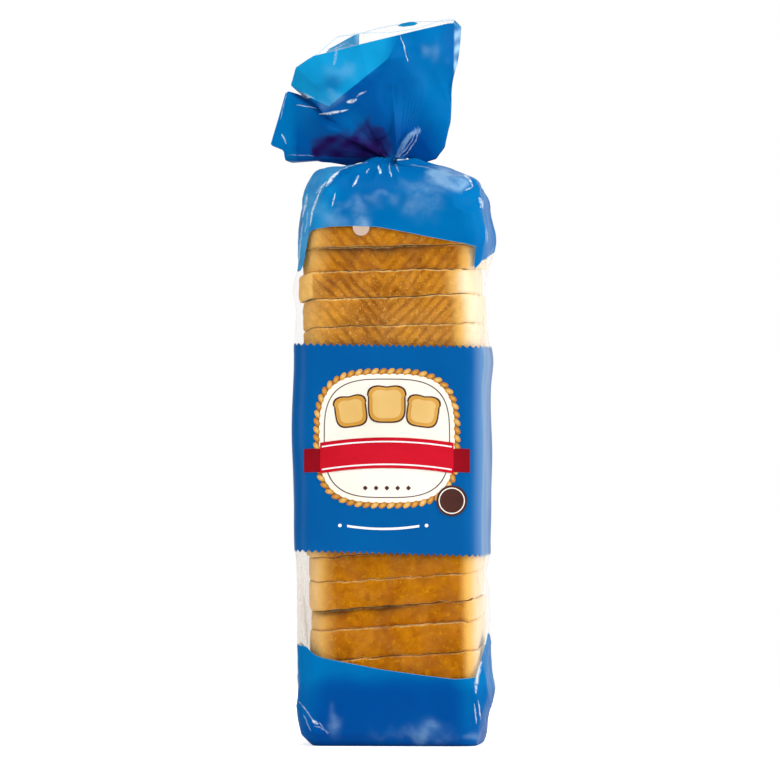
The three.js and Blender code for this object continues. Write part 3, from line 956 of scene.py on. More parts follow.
tailGrid = {"columns": 300, "rows": 100, "rowPower": 1.25}  # rows lie closer near the tie
tailPleat = {"count": 23, "height": 1.3, "fade": 0.13}
tailWrinkle = {"soft": 0.9, "softSize": (34, 26, 34), "sharp": 0.35, "sharpSize": 26}
# the small raised pleat at the root of the tail, seen from the front, with a painted sheen along it
rootPleat = {
    "path": [(1.5, 325), (5.9, 334.6), (9, 339), (14, 342.5)],
    "height": 3.0,
    "width": 1.5,
    "sheen": 0.42,
}
# a facet of the tail painted lighter, as if lit by the lamps
litFacet = [(-54, 377), (-44.7, 385), (6, 399), (-2.2, 381.6), (-35, 355), (-48, 361), (-58, 366)]
# dark patches where many layers of film lie together, with painted shade in the deep folds by the tie:
# outline, strength
layeredShadePatches = [
    ([(-45.5, 334.6), (-34.9, 341.5), (-26, 341), (-6, 335), (-2, 325), (-26.1, 322), (-44.5, 326.6)], 0.95),
    ([(-26, 336), (-18, 345.6), (-12, 347.4), (-3.9, 342), (1.5, 329.3), (-2, 325)], 0.78),
]
# painted shade: darker blots in the lit facet
litFacetShadeBlots = [((-33, 368), (6, 4.5), 0.5), ((-40, 366), (5, 3), 0.3)]  # darker blots in the light facet
# painted sheen on the tail: place, reach, strength
tailSheens = [((22.5, 386.5), (4.6, 4.8), 0.3), ((-28, 374), (9, 5), 0.12), ((-32, 359.4), (6, 4), 0.16)]
# the straight line below the mouth where the print stops: x, and its height there
printStop = ([-44.7, 30.7], [383.2, 401.7])
backPeeks = [  # blue of the back layer seen through the clear strip
    [(-42, 384.4), (-41, 387), (-30, 394), (-20.5, 397), (-20.5, 390)],
    [(0.5, 401.2), (4, 403.2), (9, 403.8), (13, 402.6), (10, 401.3), (4, 400.7)],
    [(31, 401), (34, 404.4), (38, 402), (34, 398)],
]


def ribPoint(rib, share):
    column, via, mouth = rib
    angle = -column / columnsOfCad * 2 * math.pi
    ring = bagShape["neckRadius"]
    stops = [(0, ring * math.cos(angle), ring * math.sin(angle), bagShape["neckHigh"]), *via, (1, *mouth)]
    at = [stop[0] for stop in stops]
    return [np.interp(share, at, [stop[axis] for stop in stops]) for axis in (1, 2, 3)]


def buildTail():
    column = np.arange(tailGrid["columns"]) * columnsOfCad / tailGrid["columns"]
    share = np.linspace(0, 1, tailGrid["rows"]) ** tailGrid["rowPower"]
    at = [rib[0] for rib in tailRibs] + [columnsOfCad]
    grid = np.empty((len(share), len(column), 3))
    for row, part in enumerate(share):
        points = np.array([ribPoint(rib, part) for rib in tailRibs + tailRibs[:1]])
        for axis in range(3):
            grid[row, :, axis] = np.interp(column, at, points[:, axis])
    normal = gridNormals(grid)
    part = share[:, None]
    fold, crease = foldField(grid, tailFolds)
    pleat = pleatWave(column, tailPleat["count"], 4.1)[None, :] * tailPleat["height"]
    pleat = pleat * np.exp(-part / tailPleat["fade"]) * smoothStep(0.0, 0.06, part)
    soft = tailWrinkle["soft"] * softNoise(grid, tailWrinkle["softSize"], 12)
    soft = soft + tailWrinkle["sharp"] * ridgeNoise(grid, tailWrinkle["sharpSize"], 14)
    rise = smoothStep(0.05, 0.4, part)
    push = pleat + (soft + fold) * rise
    grid = grid + normal * push[..., None]
    onFront = (column[None, :] > 1) & (column[None, :] < 27)
    distance, along = lineDistance(grid[..., 0], grid[..., 2], rootPleat["path"])
    lift = rootPleat["height"] * np.clip(1 - distance / rootPleat["width"] / 1.6, 0, 1)
    grid[..., 1] -= np.where(onFront, lift * smoothStep(0, 0.2, along) * smoothStep(1, 0.7, along), 0)
    x, z = grid[..., 0], grid[..., 2]
    lastX = printStop[0][1]
    edge = np.interp(x, *printStop) + (x > lastX) * (x - lastX) * 0.1
    frontDepth = edge - z + np.where(x < -44, 8.0, 0.0)
    backDepth = edge - 2.0 - z + 0.8 * np.sin(x * 0.4)
    peek = np.full_like(x, -9.0)
    for corners in backPeeks:
        peek = np.maximum(peek, insideDistance(x, z, corners))
    backDepth = np.maximum(backDepth, peek)
    depth = np.where(onFront, frontDepth, backDepth)
    # painted light on the facet, and on the back layer seen through the clear strip
    facet = insideDistance(x, z, litFacet)
    facet = np.where(onFront, facet, peek)
    facetShare = np.where(onFront, 0.9 * smoothStep(4, -7, x) * (1 - ellipses(x, z, litFacetShadeBlots, 3)), 0.9)
    shade = 0.5 + 0.18 * softNoise(grid, 30, 31) + 0.35 * smoothStep(0, 30, x)
    shade = shade - 0.3 * smoothStep(352, 334, z) * (x > -54) + 0.5 * smoothStep(-54, -60, x)
    warpedX, warpedZ = warped(grid, 53)
    # darker where layers lie together, and painted shade in the deep folds by the tie
    deep = np.zeros_like(x)
    for corners, strength in layeredShadePatches:
        deep = np.maximum(deep, strength * smoothStep(-2.5, 2.0, insideDistance(warpedX, warpedZ, corners)))
    deep = np.clip(deep * (0.94 + 0.14 * softNoise(grid, 9, 33)), 0, 1) * np.where(onFront, 1.0, 0.4)
    veil = 0.2 + 0.12 * softNoise(grid, (9, 9, 30), 35)
    veil = veil * (1 - 0.85 * smoothStep(-0.8, 0.2, peek) * onFront)
    mouth = (1 - part) * np.linalg.norm(grid[-1] - grid[0], axis=-1)[None, :]
    crease = np.where(onFront, 9.0, crease)
    # painted sheen: soft patches, along the root pleat, and in a strip at the tail's right edge
    sheen = ellipses(warpedX, warpedZ, tailSheens) * onFront
    sheen = np.maximum(sheen, rootPleat["sheen"] * smoothStep(rootPleat["width"], 1.0, distance) * onFront)
    rightStrip = smoothStep(33.0, 33.8, x - 0.02 * (z - 370)) * smoothStep(352, 366, z)
    sheen = np.maximum(sheen, rightStrip * np.clip(0.5 + 0.35 * softNoise(grid, 7, 36), 0, 1))
    noVent = np.full_like(depth, 9.0)
    front = onFront + np.zeros_like(depth)
    numbers = (depth, crease, facet, facetShare, shade, deep, veil, noVent, sheen, front, mouth)
    tail = makeMesh("bag_tail", grid, gridFaces(*grid.shape[:2]), dict(zip(filmValues, numbers)))
    tail.data.materials.append(filmMaterial("tailFilm", 0.6, 0.15, 5.0, tailStreaks, tailShades))
    return tail


# The slices
sliceLooks = {
    "crustDark": srgb(140, 78, 14),
    "crust": srgb(192, 118, 24),
    "crustLight": srgb(226, 158, 54),
    "groove": srgb(112, 58, 8),
    "ridge": srgb(214, 150, 62),
    "under": srgb(70, 34, 6),
    "pale": srgb(249, 226, 190),
    "golden": srgb(240, 188, 96),
    "cutEdge": srgb(246, 208, 134),
    "speck": srgb(240, 200, 128),
    "pit": srgb(120, 66, 12),
    "crumb": srgb(246, 234, 206),
    "pore": srgb(222, 196, 150),
    "warmTint": (0.84, 0.73, 0.03, 1.0),  # the lower slices are browned more evenly
    "crustThick": 1.4,
}
furrowStrengthAt = [60, 110, 215, 250, 262, 277, 289]
furrowStrengthOf = [0.04, 0.06, 0.72, 0.74, 0.62, 0.5, 0.2]
# slices in the shadow of the one above: how deep in millimetres, from and to across
shadowed = {4: (3.2, -44, 10), 18: (5.0, -40, 20)}
sliceGrid = {
    "columns": 380,
    "frontWeight": 2.4,
    "rows": 22,
    "rings": 7,
    "hiddenColumns": 120,
    "hiddenRows": 8,
    "gap": 0.16,  # between a cut and the face of its slice
    "rim": 0.9,  # how far in from the side the cut face starts
    "ragged": 0.35,
    "raggedSize": 9,
    "crown": 0.3,  # soft waves of the cut faces
    "crownSize": 60,
    "clearance": 0.2,  # between the slices and the loaf's full width
    "jitter": 0.4,  # how far the hidden slices are out of line
    "wobble": (0.25, 0.2),  # two and five waves round the crust
    "belly": 0.35,
    "roundOff": (0.55, 1.1),  # how far the crust's edge is rounded in, and over what height
    "lumps": 0.22,
    "lumpSize": 7,
    "heels": {
        0: {"from": 14.0, "to": 0.5, "inset": 11.0},
        19: {"from": 284.0, "to": 318.0, "inset": 15.0},
        20: {"from": 284.0, "to": 318.0, "inset": 21.0},
        21: {"from": 284.0, "to": 318.0, "inset": 21.0},
    },
}
sliceValues = ("depth", "furrow", "edge", "fromTop", "pale", "golden", "under", "warm")


def breadMaterial():
    looks = sliceLooks
    material, tree, shader = newMaterial("breadSlice", IOR=1.4, Specular_IOR_Level=0.05)
    depth, furrow, edge, fromTop, pale, golden, under, warm = (readValue(tree, key) for key in sliceValues)
    coarse = useGroup(tree, mottleGroup, Blotch_Size=14.0, Speck_Size=1.2, Seed=1.0)
    fine = useGroup(tree, mottleGroup, Blotch_Size=4.0, Speck_Size=0.6, Seed=7.0)
    shape = furrowShape
    lines = useGroup(tree, furrowGroup, Pitch=shape["pitch"], Slope=shape["slope"], Middle=shape["middle"])
    crust = mixColour(tree, ramp(tree, coarse["Blotch"], 0.34, 0.66), looks["crustDark"], looks["crustLight"])
    crust = mixColour(tree, ramp(tree, warm, 0.5, 1.0, 0.3, 0.7), crust, looks["crust"])
    crust = mixColour(tree, ramp(tree, fine["Blotch"], 0.5, 0.72, 0.0, 0.5), crust, looks["crustLight"])
    crust = mixColour(tree, ramp(tree, fine["Blotch"], 0.5, 0.28, 0.0, 0.5), crust, looks["crustDark"])
    # the ridges of the furrows are painted lighter and the grooves darker: partly the crust's colour, partly
    # painted highlight and shade
    ridge = times(tree, furrow, ramp(tree, lines["Wave"], -0.1, -0.9, 0.0, 0.3))
    crust = mixColour(tree, ridge, crust, looks["ridge"])
    groove = times(tree, furrow, lines["Furrow"])
    groove = times(tree, groove, ramp(tree, fine["Blotch"], 0.3, 0.6, 0.4, 0.85))
    crust = mixColour(tree, groove, crust, looks["groove"])
    crust = mixColour(tree, ramp(tree, coarse["Speck"], 0.57, 0.69, 0.0, 0.42), crust, looks["speck"])
    crust = mixColour(tree, ramp(tree, fine["Speck"], 0.42, 0.3, 0.0, 0.6), crust, looks["pit"])
    crust = mixColour(tree, warm, crust, mixColour(tree, 1.0, crust, looks["warmTint"], "MULTIPLY"))
    crust = mixColour(tree, golden, crust, looks["golden"])
    crust = mixColour(tree, pale, crust, looks["pale"])
    broken = ramp(tree, coarse["Speck"], 0.32, 0.5)
    topLine = times(tree, ramp(tree, fromTop, 1.1, 0.4), broken)
    anyEdge = times(tree, ramp(tree, edge, 0.5, 0.0, 0.0, 0.6), broken)
    worn = most(tree, topLine, anyEdge)
    # painted shadow under the slice above
    crust = mixColour(tree, under, crust, looks["under"])
    worn = times(tree, worn, ramp(tree, coarse["Blotch"], 0.4, 0.6, 0.25, 0.75))
    worn = times(tree, worn, ramp(tree, warm, 0.5, 1.0, 1.0, 0.55))
    crust = mixColour(tree, worn, crust, looks["cutEdge"])
    crumb = mixColour(tree, ramp(tree, fine["Speck"], 0.45, 0.7), looks["pore"], looks["crumb"])
    jag = times(tree, minus(tree, fine["Blotch"], 0.5), 1.6)
    thick = looks["crustThick"]
    inner = ramp(tree, plus(tree, depth, jag), thick - 0.5, thick + 0.4)
    tree.links.new(mixColour(tree, inner, crust, crumb), shader.inputs["Base Color"])
    rough = plus(tree, times(tree, inner, 0.25), 0.6)
    rough = plus(tree, rough, times(tree, coarse["Speck"], 0.1))
    tree.links.new(rough, shader.inputs["Roughness"])
    height = times(tree, fine["Blotch"], 0.6)
    height = plus(tree, height, times(tree, coarse["Speck"], 0.4))
    height = plus(tree, height, times(tree, fine["Speck"], 0.25))
    height = minus(tree, height, times(tree, groove, 0.3))
    linkBump(tree, shader, height, 0.9)
    return material


# one slice is torn and lighter at its left corner, with a crumb on top
cornerBlock = {"slice": 17, "x": -39.9, "golden": 0.8, "crumbX": -42.5, "crumbZ": 260.6}
# how the crust's tints change with height: heights, and the value at each. The pale right side is a painted
# glare; the pale and golden corners are partly the crust's colour and partly painted light
sliceTints = {
    "glareFrom": ([110, 225, 247, 250, 262, 266], [41.5, 38.5, 38.0, 36.5, 36.5, 41.0]),  # in x
    "paleLeft": ([56, 75, 100, 220], [0.3, 0.45, 0.45, 0.1]),
    "goldenRight": ([100, 220], [0.95, 0.75]),
    "goldenLeft": ([100, 220, 262, 268], [0.85, 0.35, 0.35, 0.6]),
    "nearLabel": ([200, 220, 236, 250], [0, 0.1, 0.08, 0]),  # the slices above the label are lighter
    "warm": ([100, 230, 245, 258, 266], [1.0, 0.3, 0.42, 0.45, 0.75]),
}


def tint(key, height):
    return np.interp(height, *sliceTints[key])


def levelPoints(x, y, level):
    return np.stack([x, y, np.full_like(x, level)], -1)


def buildSlice(index, material):
    low, high = cuts[index], cuts[index + 1]
    seen = index in slicePush
    columnCount = sliceGrid["columns"] if seen else sliceGrid["hiddenColumns"]
    rowCount = sliceGrid["rows"] if seen else sliceGrid["hiddenRows"]
    rng = np.random.default_rng(100 + index)
    jitter = rng.uniform(-sliceGrid["jitter"], sliceGrid["jitter"], 2)
    pushX, pushY, tip = slicePush.get(index, (loafShift + jitter[0], jitter[1], 0.0))
    column = evenColumns(columnCount, sliceGrid["frontWeight"] if seen else 1.0)
    trim = rng.uniform(0.0, 0.5) + lowTrim.get(index, np.interp(low, [80, 120], [2.8, 0.3]))
    half = loaf["half"] - sliceGrid["clearance"] - trim
    x, y = sectionPoint(column, half, loaf["corner"] + rng.uniform(-1, 1.5))
    turn = column / columnsOfCad * 2 * math.pi
    two, five = sliceGrid["wobble"]
    wobble = two * np.sin(2 * turn + rng.uniform(0, 6)) + five * np.sin(5 * turn + rng.uniform(0, 6))
    length = np.hypot(x, y)
    x, y = x * (1 + wobble / length), y * (1 + wobble / length)
    leanLow, leanHigh = np.interp(low, leanAt, leanOf), np.interp(high, leanAt, leanOf)
    # the cut faces dip or rise at the left corners, where the loaf is squeezed
    squeeze = np.interp(low, [60, 100, 220, 250], [2.2, 2.2, -2.2, -2.2])

    def raggedAt(cut):
        # one cut has the same ragged edge on both slices
        points = levelPoints(x, y, cut * 37.0)
        return sliceGrid["ragged"] * softNoise(points, sliceGrid["raggedSize"], 40 + cut)

    def faceHeight(px, py, level, lean, rough, inset):
        leftCorner = smoothStep(40, 50, -px) * squeeze
        cut = index + (level > (low + high) / 2)
        points = levelPoints(px, py, cut * 14.0)
        crown = sliceGrid["crown"] * softNoise(points, sliceGrid["crownSize"], 70 + cut)
        return level + lean * px + tip * (py + loaf["half"]) + leftCorner + rough + crown + inset

    heel = sliceGrid["heels"].get(index)

    def heelShrink(level):
        # the two heels of the loaf are rounded like its pan
        if heel is None:
            return np.ones_like(level)
        near = np.clip((level - heel["from"]) / (heel["to"] - heel["from"]), 0, 1)
        return 1 - heel["inset"] / loaf["half"] * (1 - np.sqrt(1 - near ** 2))

    sideRows = 0.5 - 0.5 * np.cos(np.linspace(0, math.pi, rowCount))
    rows = []
    values = {key: [] for key in sliceValues}
    lowFace, highFace = low + sliceGrid["gap"], high - sliceGrid["gap"]
    lowRagged, highRagged = raggedAt(index), raggedAt(index + 1)
    lowRing = faceHeight(x, y, lowFace, leanLow, lowRagged, 0)
    highRing = faceHeight(x, y, highFace, leanHigh, highRagged, 0)
    thick = high - low

    def addRow(px, py, pz, depth, edge=0, furrow=0, fromTop=9, under=0):
        shrink = heelShrink(pz)
        px, py = px * shrink, py * shrink
        rows.append(np.stack([px + pushX, py + pushY, pz], -1))
        # the pale right side is a painted glare; the left corners are paler, partly crumb and partly painted
        # light; paler towards the back
        side = tint("glareFrom", pz)
        pale = 0.95 * smoothStep(side, side + 8, px)
        pale = pale + smoothStep(37, 47, -px) * tint("paleLeft", pz)
        pale = pale + 0.35 * smoothStep(-30, 10, py) * (np.abs(px) < 48)
        # golden at the right side and the left corners, partly the crust's colour and partly painted light;
        # lighter above the label
        golden = tint("goldenRight", pz) * smoothStep(side - 5, side + 1, px)
        golden = golden + smoothStep(30, 43, -px) * tint("goldenLeft", pz)
        golden = np.minimum(golden + tint("nearLabel", pz) * (py < 0), 1)
        if index == cornerBlock["slice"]:
            golden = np.maximum(golden, cornerBlock["golden"] * smoothStep(0, 0.9, cornerBlock["x"] - px))
            onCrumb = smoothStep(0, 0.8, cornerBlock["crumbX"] - px)
            pale = np.maximum(pale, 0.8 * onCrumb * smoothStep(0, 0.8, pz - cornerBlock["crumbZ"]))
        warm = np.maximum(tint("warm", pz), 0.95 * smoothStep(34, 44, -px) * (pz > 258))
        given = (depth, furrow, edge, fromTop, np.clip(pale, 0, 1), golden, under, warm)
        for key, number in zip(sliceValues, given):
            values[key].append(np.broadcast_to(number, px.shape))

    def addCutRow(shrink, level, lean, rag, inset, depth):
        rx, ry = x * shrink, y * shrink
        addRow(rx, ry, faceHeight(rx, ry, level, lean, rag, inset), depth)

    def addCutRows(order, level, lean, rag):
        for shrink in order:
            addCutRow(shrink, level, lean, rag * smoothStep(0.8, 1.0, shrink), 0, (1 - shrink) * 45)

    shrinks = np.linspace(0, 1, sliceGrid["rings"] + 1)[1:-1] ** 1.6
    rim = 1 - sliceGrid["rim"] / loaf["half"]
    addCutRows(shrinks, lowFace, leanLow, lowRagged)
    addCutRow(rim, lowFace, leanLow, lowRagged, -0.02, sliceGrid["rim"])
    # painted shadow along the top of each slice, under the cut above: deep under a slice that juts out, faint
    # at every other cut
    shadowDepth, shadowFrom, shadowTo = shadowed.get(index, (0.5, -50, 50))
    shadowStrength = 1.0 if index in shadowed else 0.4
    inShadow = smoothStep(shadowFrom - 6, shadowFrom + 6, x) * smoothStep(shadowTo + 10, shadowTo - 10, x)
    uneven = 0.8 + 0.3 * softNoise(levelPoints(x, y, index * 11.0), 16, 81)
    roundDepth, roundReach = sliceGrid["roundOff"]
    for part in sideRows:
        z = lowRing + (highRing - lowRing) * part
        fromCut = np.minimum(part, 1 - part) * thick
        fromTop = (1 - part) * thick
        roundOff = roundDepth * (1 - smoothStep(0, roundReach, fromCut))
        belly = sliceGrid["belly"] * math.sin(math.pi * part)
        patchy = np.clip(0.8 + 0.45 * softNoise(np.stack([x, y, z], -1), (24, 24, 15), 58), 0.15, 1)
        strength = np.interp(z, furrowStrengthAt, furrowStrengthOf)
        facing = smoothStep(20, 46, -y) * smoothStep(loaf["half"], 38, np.abs(x))
        furrow = strength * (facing + 0.4 * smoothStep(20, 46, y)) * patchy
        lumps = sliceGrid["lumps"] * softNoise(np.stack([x, y, z], -1), sliceGrid["lumpSize"], 61)
        lumps = lumps * strength ** 0.5
        out = belly - roundOff - furrowShape["depth"] * furrow * furrowAt(x + pushX, z) + lumps
        grow = 1 + out / length
        reach = shadowDepth * np.maximum(uneven, 0.2)
        under = shadowStrength * np.exp(-((fromTop / reach) ** 1.5)) * inShadow * smoothStep(-30, -44, y)
        addRow(x * grow, y * grow, z, 0, fromCut, furrow, fromTop, under)
    addCutRow(rim, highFace, leanHigh, highRagged, 0.02, sliceGrid["rim"])
    addCutRows(shrinks[::-1], highFace, leanHigh, highRagged)
    grid = np.array(rows)
    grid[..., 2] = np.maximum(grid[..., 2], 0.6)
    faces = gridFaces(*grid.shape[:2])
    lastRow = (grid.shape[0] - 1) * columnCount
    faces.append(list(range(columnCount)))
    faces.append(list(range(lastRow + columnCount - 1, lastRow - 1, -1)))
    values = {key: np.array(numbers) for key, numbers in values.items()}
    piece = makeMesh(f"slice_{index + 1:02d}", grid, faces, values)
    piece.data.materials.append(material)
    return piece


# The label: a blue band with pinked edges
labelBand = {
    "lowLeft": 108.2,
    "lowRight": 105.4,
    "highLeft": 222.6,
    "highRight": 221.0,
    "teeth": 112,
    "tooth": 0.85,
    "rows": 48,
    "out": 0.35,
    "blue": srgb(0, 92, 161),
    "blueDark": srgb(0, 87, 156),
    "roughness": 0.34,
}


def labelPoints(columnCount):
    band = labelBand
    column = evenColumns(columnCount)
    x, _ = sectionPoint(column, loaf["half"], loaf["corner"])
    part = (x + 50) / 100
    low = band["lowLeft"] + (band["lowRight"] - band["lowLeft"]) * part
    high = band["highLeft"] + (band["highRight"] - band["highLeft"]) * part
    tooth = np.where(np.arange(columnCount) % 2 == 0, 1, -1) * band["tooth"]
    rows = []
    for share in np.concatenate([[0, 0.015], np.linspace(0.03, 0.97, band["rows"]), [0.985, 1]]):
        z = low + (high - low) * share
        z = z + tooth * (share > 0.99) - tooth * (share < 0.01)
        rows.append(onBag(column, z, band["out"]))
    return np.array(rows)


def onBag(column, z, out):
    # the point of the bag's surface at a column and a real height
    height = z
    for _ in range(3):
        height = height + (z - bodyPoints(height, column, out)[..., 2])
    points = bodyPoints(height, column, out)
    soft = softNoise(points, wrinkle["softSize"], 3) * wrinkle["soft"]
    outward = points * [1, 1, 0] / np.linalg.norm(points[..., :2], axis=-1, keepdims=True)
    return points + outward * (soft[..., None] + 0.12)


def inkMaterial(name, colour, second, roughness=0.3, seed=0.0, wave=0.25):
    material, tree, shader = newMaterial(name, IOR=1.5, Specular_IOR_Level=0.08)
    mottle = useGroup(tree, mottleGroup, Blotch_Size=40.0, Speck_Size=0.5, Seed=seed)
    base = mixColour(tree, ramp(tree, mottle["Blotch"], 0.35, 0.65), colour, second)
    # painted reflection: lighter where the piece carries a sheen value
    base = mixColour(tree, readValue(tree, "sheen"), base, filmLooks["inkSheenAndRim"])
    tree.links.new(base, shader.inputs["Base Color"])
    rough = times(tree, mottle["Speck"], 0.08)
    tree.links.new(plus(tree, rough, roughness - 0.04), shader.inputs["Roughness"])
    sizes = {"Wave_Size": 45.0, "Crest_Size": 30.0, "Wave_Height": wave, "Crest_Height": 0.0}
    crinkle = useGroup(tree, crinkleGroup, Seed=seed, **sizes)
    height = plus(tree, crinkle["Height"], times(tree, mottle["Speck"], 0.006))
    linkBump(tree, shader, height)
    return material


def buildLabel():
    grid = labelPoints(labelBand["teeth"] * 2)
    # painted reflection on the label's right corner, fading towards the back
    sheen = 0.3 * smoothStep(46, 53, grid[..., 0]) * smoothStep(42, -25, grid[..., 1])
    label = makeMesh("label_band", grid, gridFaces(*grid.shape[:2]), {"sheen": sheen})
    inks = labelBand["blueDark"], labelBand["blue"]
    label.data.materials.append(inkMaterial("labelInk", *inks, labelBand["roughness"], 11.0))
    return label


# The badge printed on the label: a plain plaque with slices of bread and a blank ribbon
badge = {"x": -0.5, "z": 170.5, "step": 0.1}
badgeInks = {
    "cream": (srgb(250, 246, 236), srgb(244, 238, 224)),
    "gold": (srgb(220, 168, 84), srgb(204, 148, 62)),
    "amber": (srgb(196, 134, 58), srgb(182, 120, 48)),
    "umber": (srgb(150, 92, 40), srgb(134, 78, 32)),
    "brown": (srgb(84, 50, 44), srgb(72, 42, 38)),
    "red": (srgb(206, 24, 44), srgb(188, 18, 36)),
    "darkRed": (srgb(150, 14, 30), srgb(136, 12, 26)),
    "white": (srgb(250, 251, 252), srgb(240, 243, 247)),
    "toast": (srgb(232, 196, 128), srgb(222, 180, 104)),
}


def surfaceY(x, z):
    # how far forward the label is at a point of its front
    column = quarter - np.asarray(x, float) / (loaf["half"] - loaf["corner"]) * (quarter - cornerEnd)
    return onBag(column, np.asarray(z, float), labelBand["out"])[..., 1]


def turned(x, z, turn):
    return x * math.cos(turn) - z * math.sin(turn), x * math.sin(turn) + z * math.cos(turn)


def squircle(wide, tall, power=3.2, count=120, cx=0.0, cz=0.0):
    angle = np.linspace(0, 2 * math.pi, count, endpoint=False)
    x = np.sign(np.cos(angle)) * np.abs(np.cos(angle)) ** (2 / power) * wide / 2
    z = np.sign(np.sin(angle)) * np.abs(np.sin(angle)) ** (2 / power) * tall / 2
    return np.stack([cx + x, cz + z], -1)


def disc(wide, count, cx, cz):
    return squircle(wide, wide, 2.0, count, cx, cz)


def sliceOutline(wide, cx, cz, turn):
    # a slice of bread: square below, two soft lobes above
    angle = np.linspace(0, 2 * math.pi, 72, endpoint=False)
    x, z = np.cos(angle), np.sin(angle)
    sx = np.sign(x) * np.abs(x) ** 0.55
    sz = np.sign(z) * np.abs(z) ** 0.55
    top = np.clip(sz, 0, 1)
    sx = sx * (1 + 0.14 * top * (top > 0.45))
    sz = sz - 0.08 * np.exp(-((sx / 0.3) ** 2)) * top
    sx, sz = turned(sx * wide / 2, sz * wide / 2, turn)
    return np.stack([cx + sx, cz + sz], -1)


def ribbonOutline(left, right, middle, tall, arch):
    xs = np.linspace(left, right, 40)
    bow = arch * (1 - (2 * (xs - left) / (right - left) - 1) ** 2)
    low = np.stack([xs, middle - tall / 2 + bow], -1)
    high = np.stack([xs, middle + tall / 2 + bow], -1)[::-1]
    return np.concatenate([low, high])


def decal(name, outline, ink, level, hole=None):
    # a flat printed shape, laid on the front of the label
    loops = [np.asarray(outline)] + ([np.asarray(hole)] if hole is not None else [])
    points = np.concatenate(loops)
    edges, start = [], 0
    for loop in loops:
        count = len(loop)
        edges += [(start + i, start + (i + 1) % count) for i in range(count)]
        start += count
    low, high = points.min(0), points.max(0)
    spacing = 3.0
    extra = [
        (px, pz)
        for px in np.arange(low[0] + spacing / 2, high[0], spacing)
        for pz in np.arange(low[1] + spacing / 2, high[1], spacing)
    ]
    extra = [point for point in extra if printed(point, loops)]
    vertices = [Vector(point) for point in (*points, *extra)]
    made = delaunay_2d_cdt(vertices, edges, [], 0, 1e-6)
    flat = np.array([tuple(v) for v in made[0]])
    faces = [tuple(face) for face in made[2] if printed(flat[list(face)].mean(0), loops)]
    x, z = flat[:, 0] + badge["x"], flat[:, 1] + badge["z"]
    y = surfaceY(x, z) - badge["step"] * level
    piece = makeMesh(name, np.stack([x, y, z], -1), orientFront(flat, faces))
    piece.data.materials.append(badgeMaterials[ink])
    return piece


def orientFront(flat, faces):
    # every face looks to the front
    turned = []
    for face in faces:
        a, b, c = (flat[i] for i in face[:3])
        area = (b[0] - a[0]) * (c[1] - a[1]) - (b[1] - a[1]) * (c[0] - a[0])
        turned.append(face if area > 0 else face[::-1])
    return turned


def printed(point, loops):
    # inside the outline, and not in its hole
    return pointInside(point, loops[0]) and not any(pointInside(point, hole) for hole in loops[1:])


def pointInside(point, loop):
    x, z = point
    x0, z0 = loop[:, 0], loop[:, 1]
    x1, z1 = np.roll(x0, -1), np.roll(z0, -1)
    crosses = (z0 > z) != (z1 > z)
    with np.errstate(divide="ignore", invalid="ignore"):
        at = x0 + (z - z0) / (z1 - z0) * (x1 - x0)
    return bool(np.sum(crosses & (x < at)) % 2)


badgeMaterials = {
    key: inkMaterial(f"badge_{key}", *pair, roughness=0.32, seed=20.0, wave=0.1)
    for key, pair in badgeInks.items()
}
rimBeads = {"count": 58, "wide": 78.0, "tall": 74.0, "long": 5.0, "thick": 2.9, "turn": 0.62, "sides": 12}


def buildBeads(name, ink, level, which, scale=1.0):
    # slanted oval beads along the rim of the badge, every second one, as one piece
    beads = rimBeads
    path = squircle(beads["wide"], beads["tall"], count=720)
    path = np.concatenate([path, path[:1]])
    length = np.concatenate([[0], np.cumsum(np.hypot(*np.diff(path, axis=0).T))])
    at = np.arange(beads["count"])[which::2] / beads["count"] * length[-1]
    middle = np.stack([np.interp(at, length, path[:, axis]) for axis in (0, 1)], -1)
    ahead = np.stack([np.interp(at + 1, length, path[:, axis]) for axis in (0, 1)], -1)
    angle = np.arctan2(*(ahead - middle).T[::-1]) + beads["turn"]
    around = np.arange(beads["sides"]) / beads["sides"] * 2 * math.pi
    px = np.cos(around) * beads["long"] / 2 * scale
    pz = np.sin(around) * beads["thick"] / 2 * scale
    points, faces = [], []
    for (cx, cz), turn in zip(middle, angle):
        x, z = turned(px, pz, turn)
        x, z = cx + x + badge["x"], cz + z + badge["z"]
        faces.append(list(range(len(points), len(points) + beads["sides"])))
        points += np.stack([x, surfaceY(x, z) - badge["step"] * level, z], -1).tolist()
    piece = makeMesh(name, points, faces)
    piece.data.materials.append(badgeMaterials[ink])
    return piece


badgeSlices = ((-20, 15, 0.14, 18), (20, 15, -0.14, 18), (0, 19, 0.0, 21))  # x, z, turn, width
sliceLayers = (("slice", 0, "brown", 2.4), ("toast", 1.6, "gold", 2.8), ("inner", 5.2, "toast", 3.2))


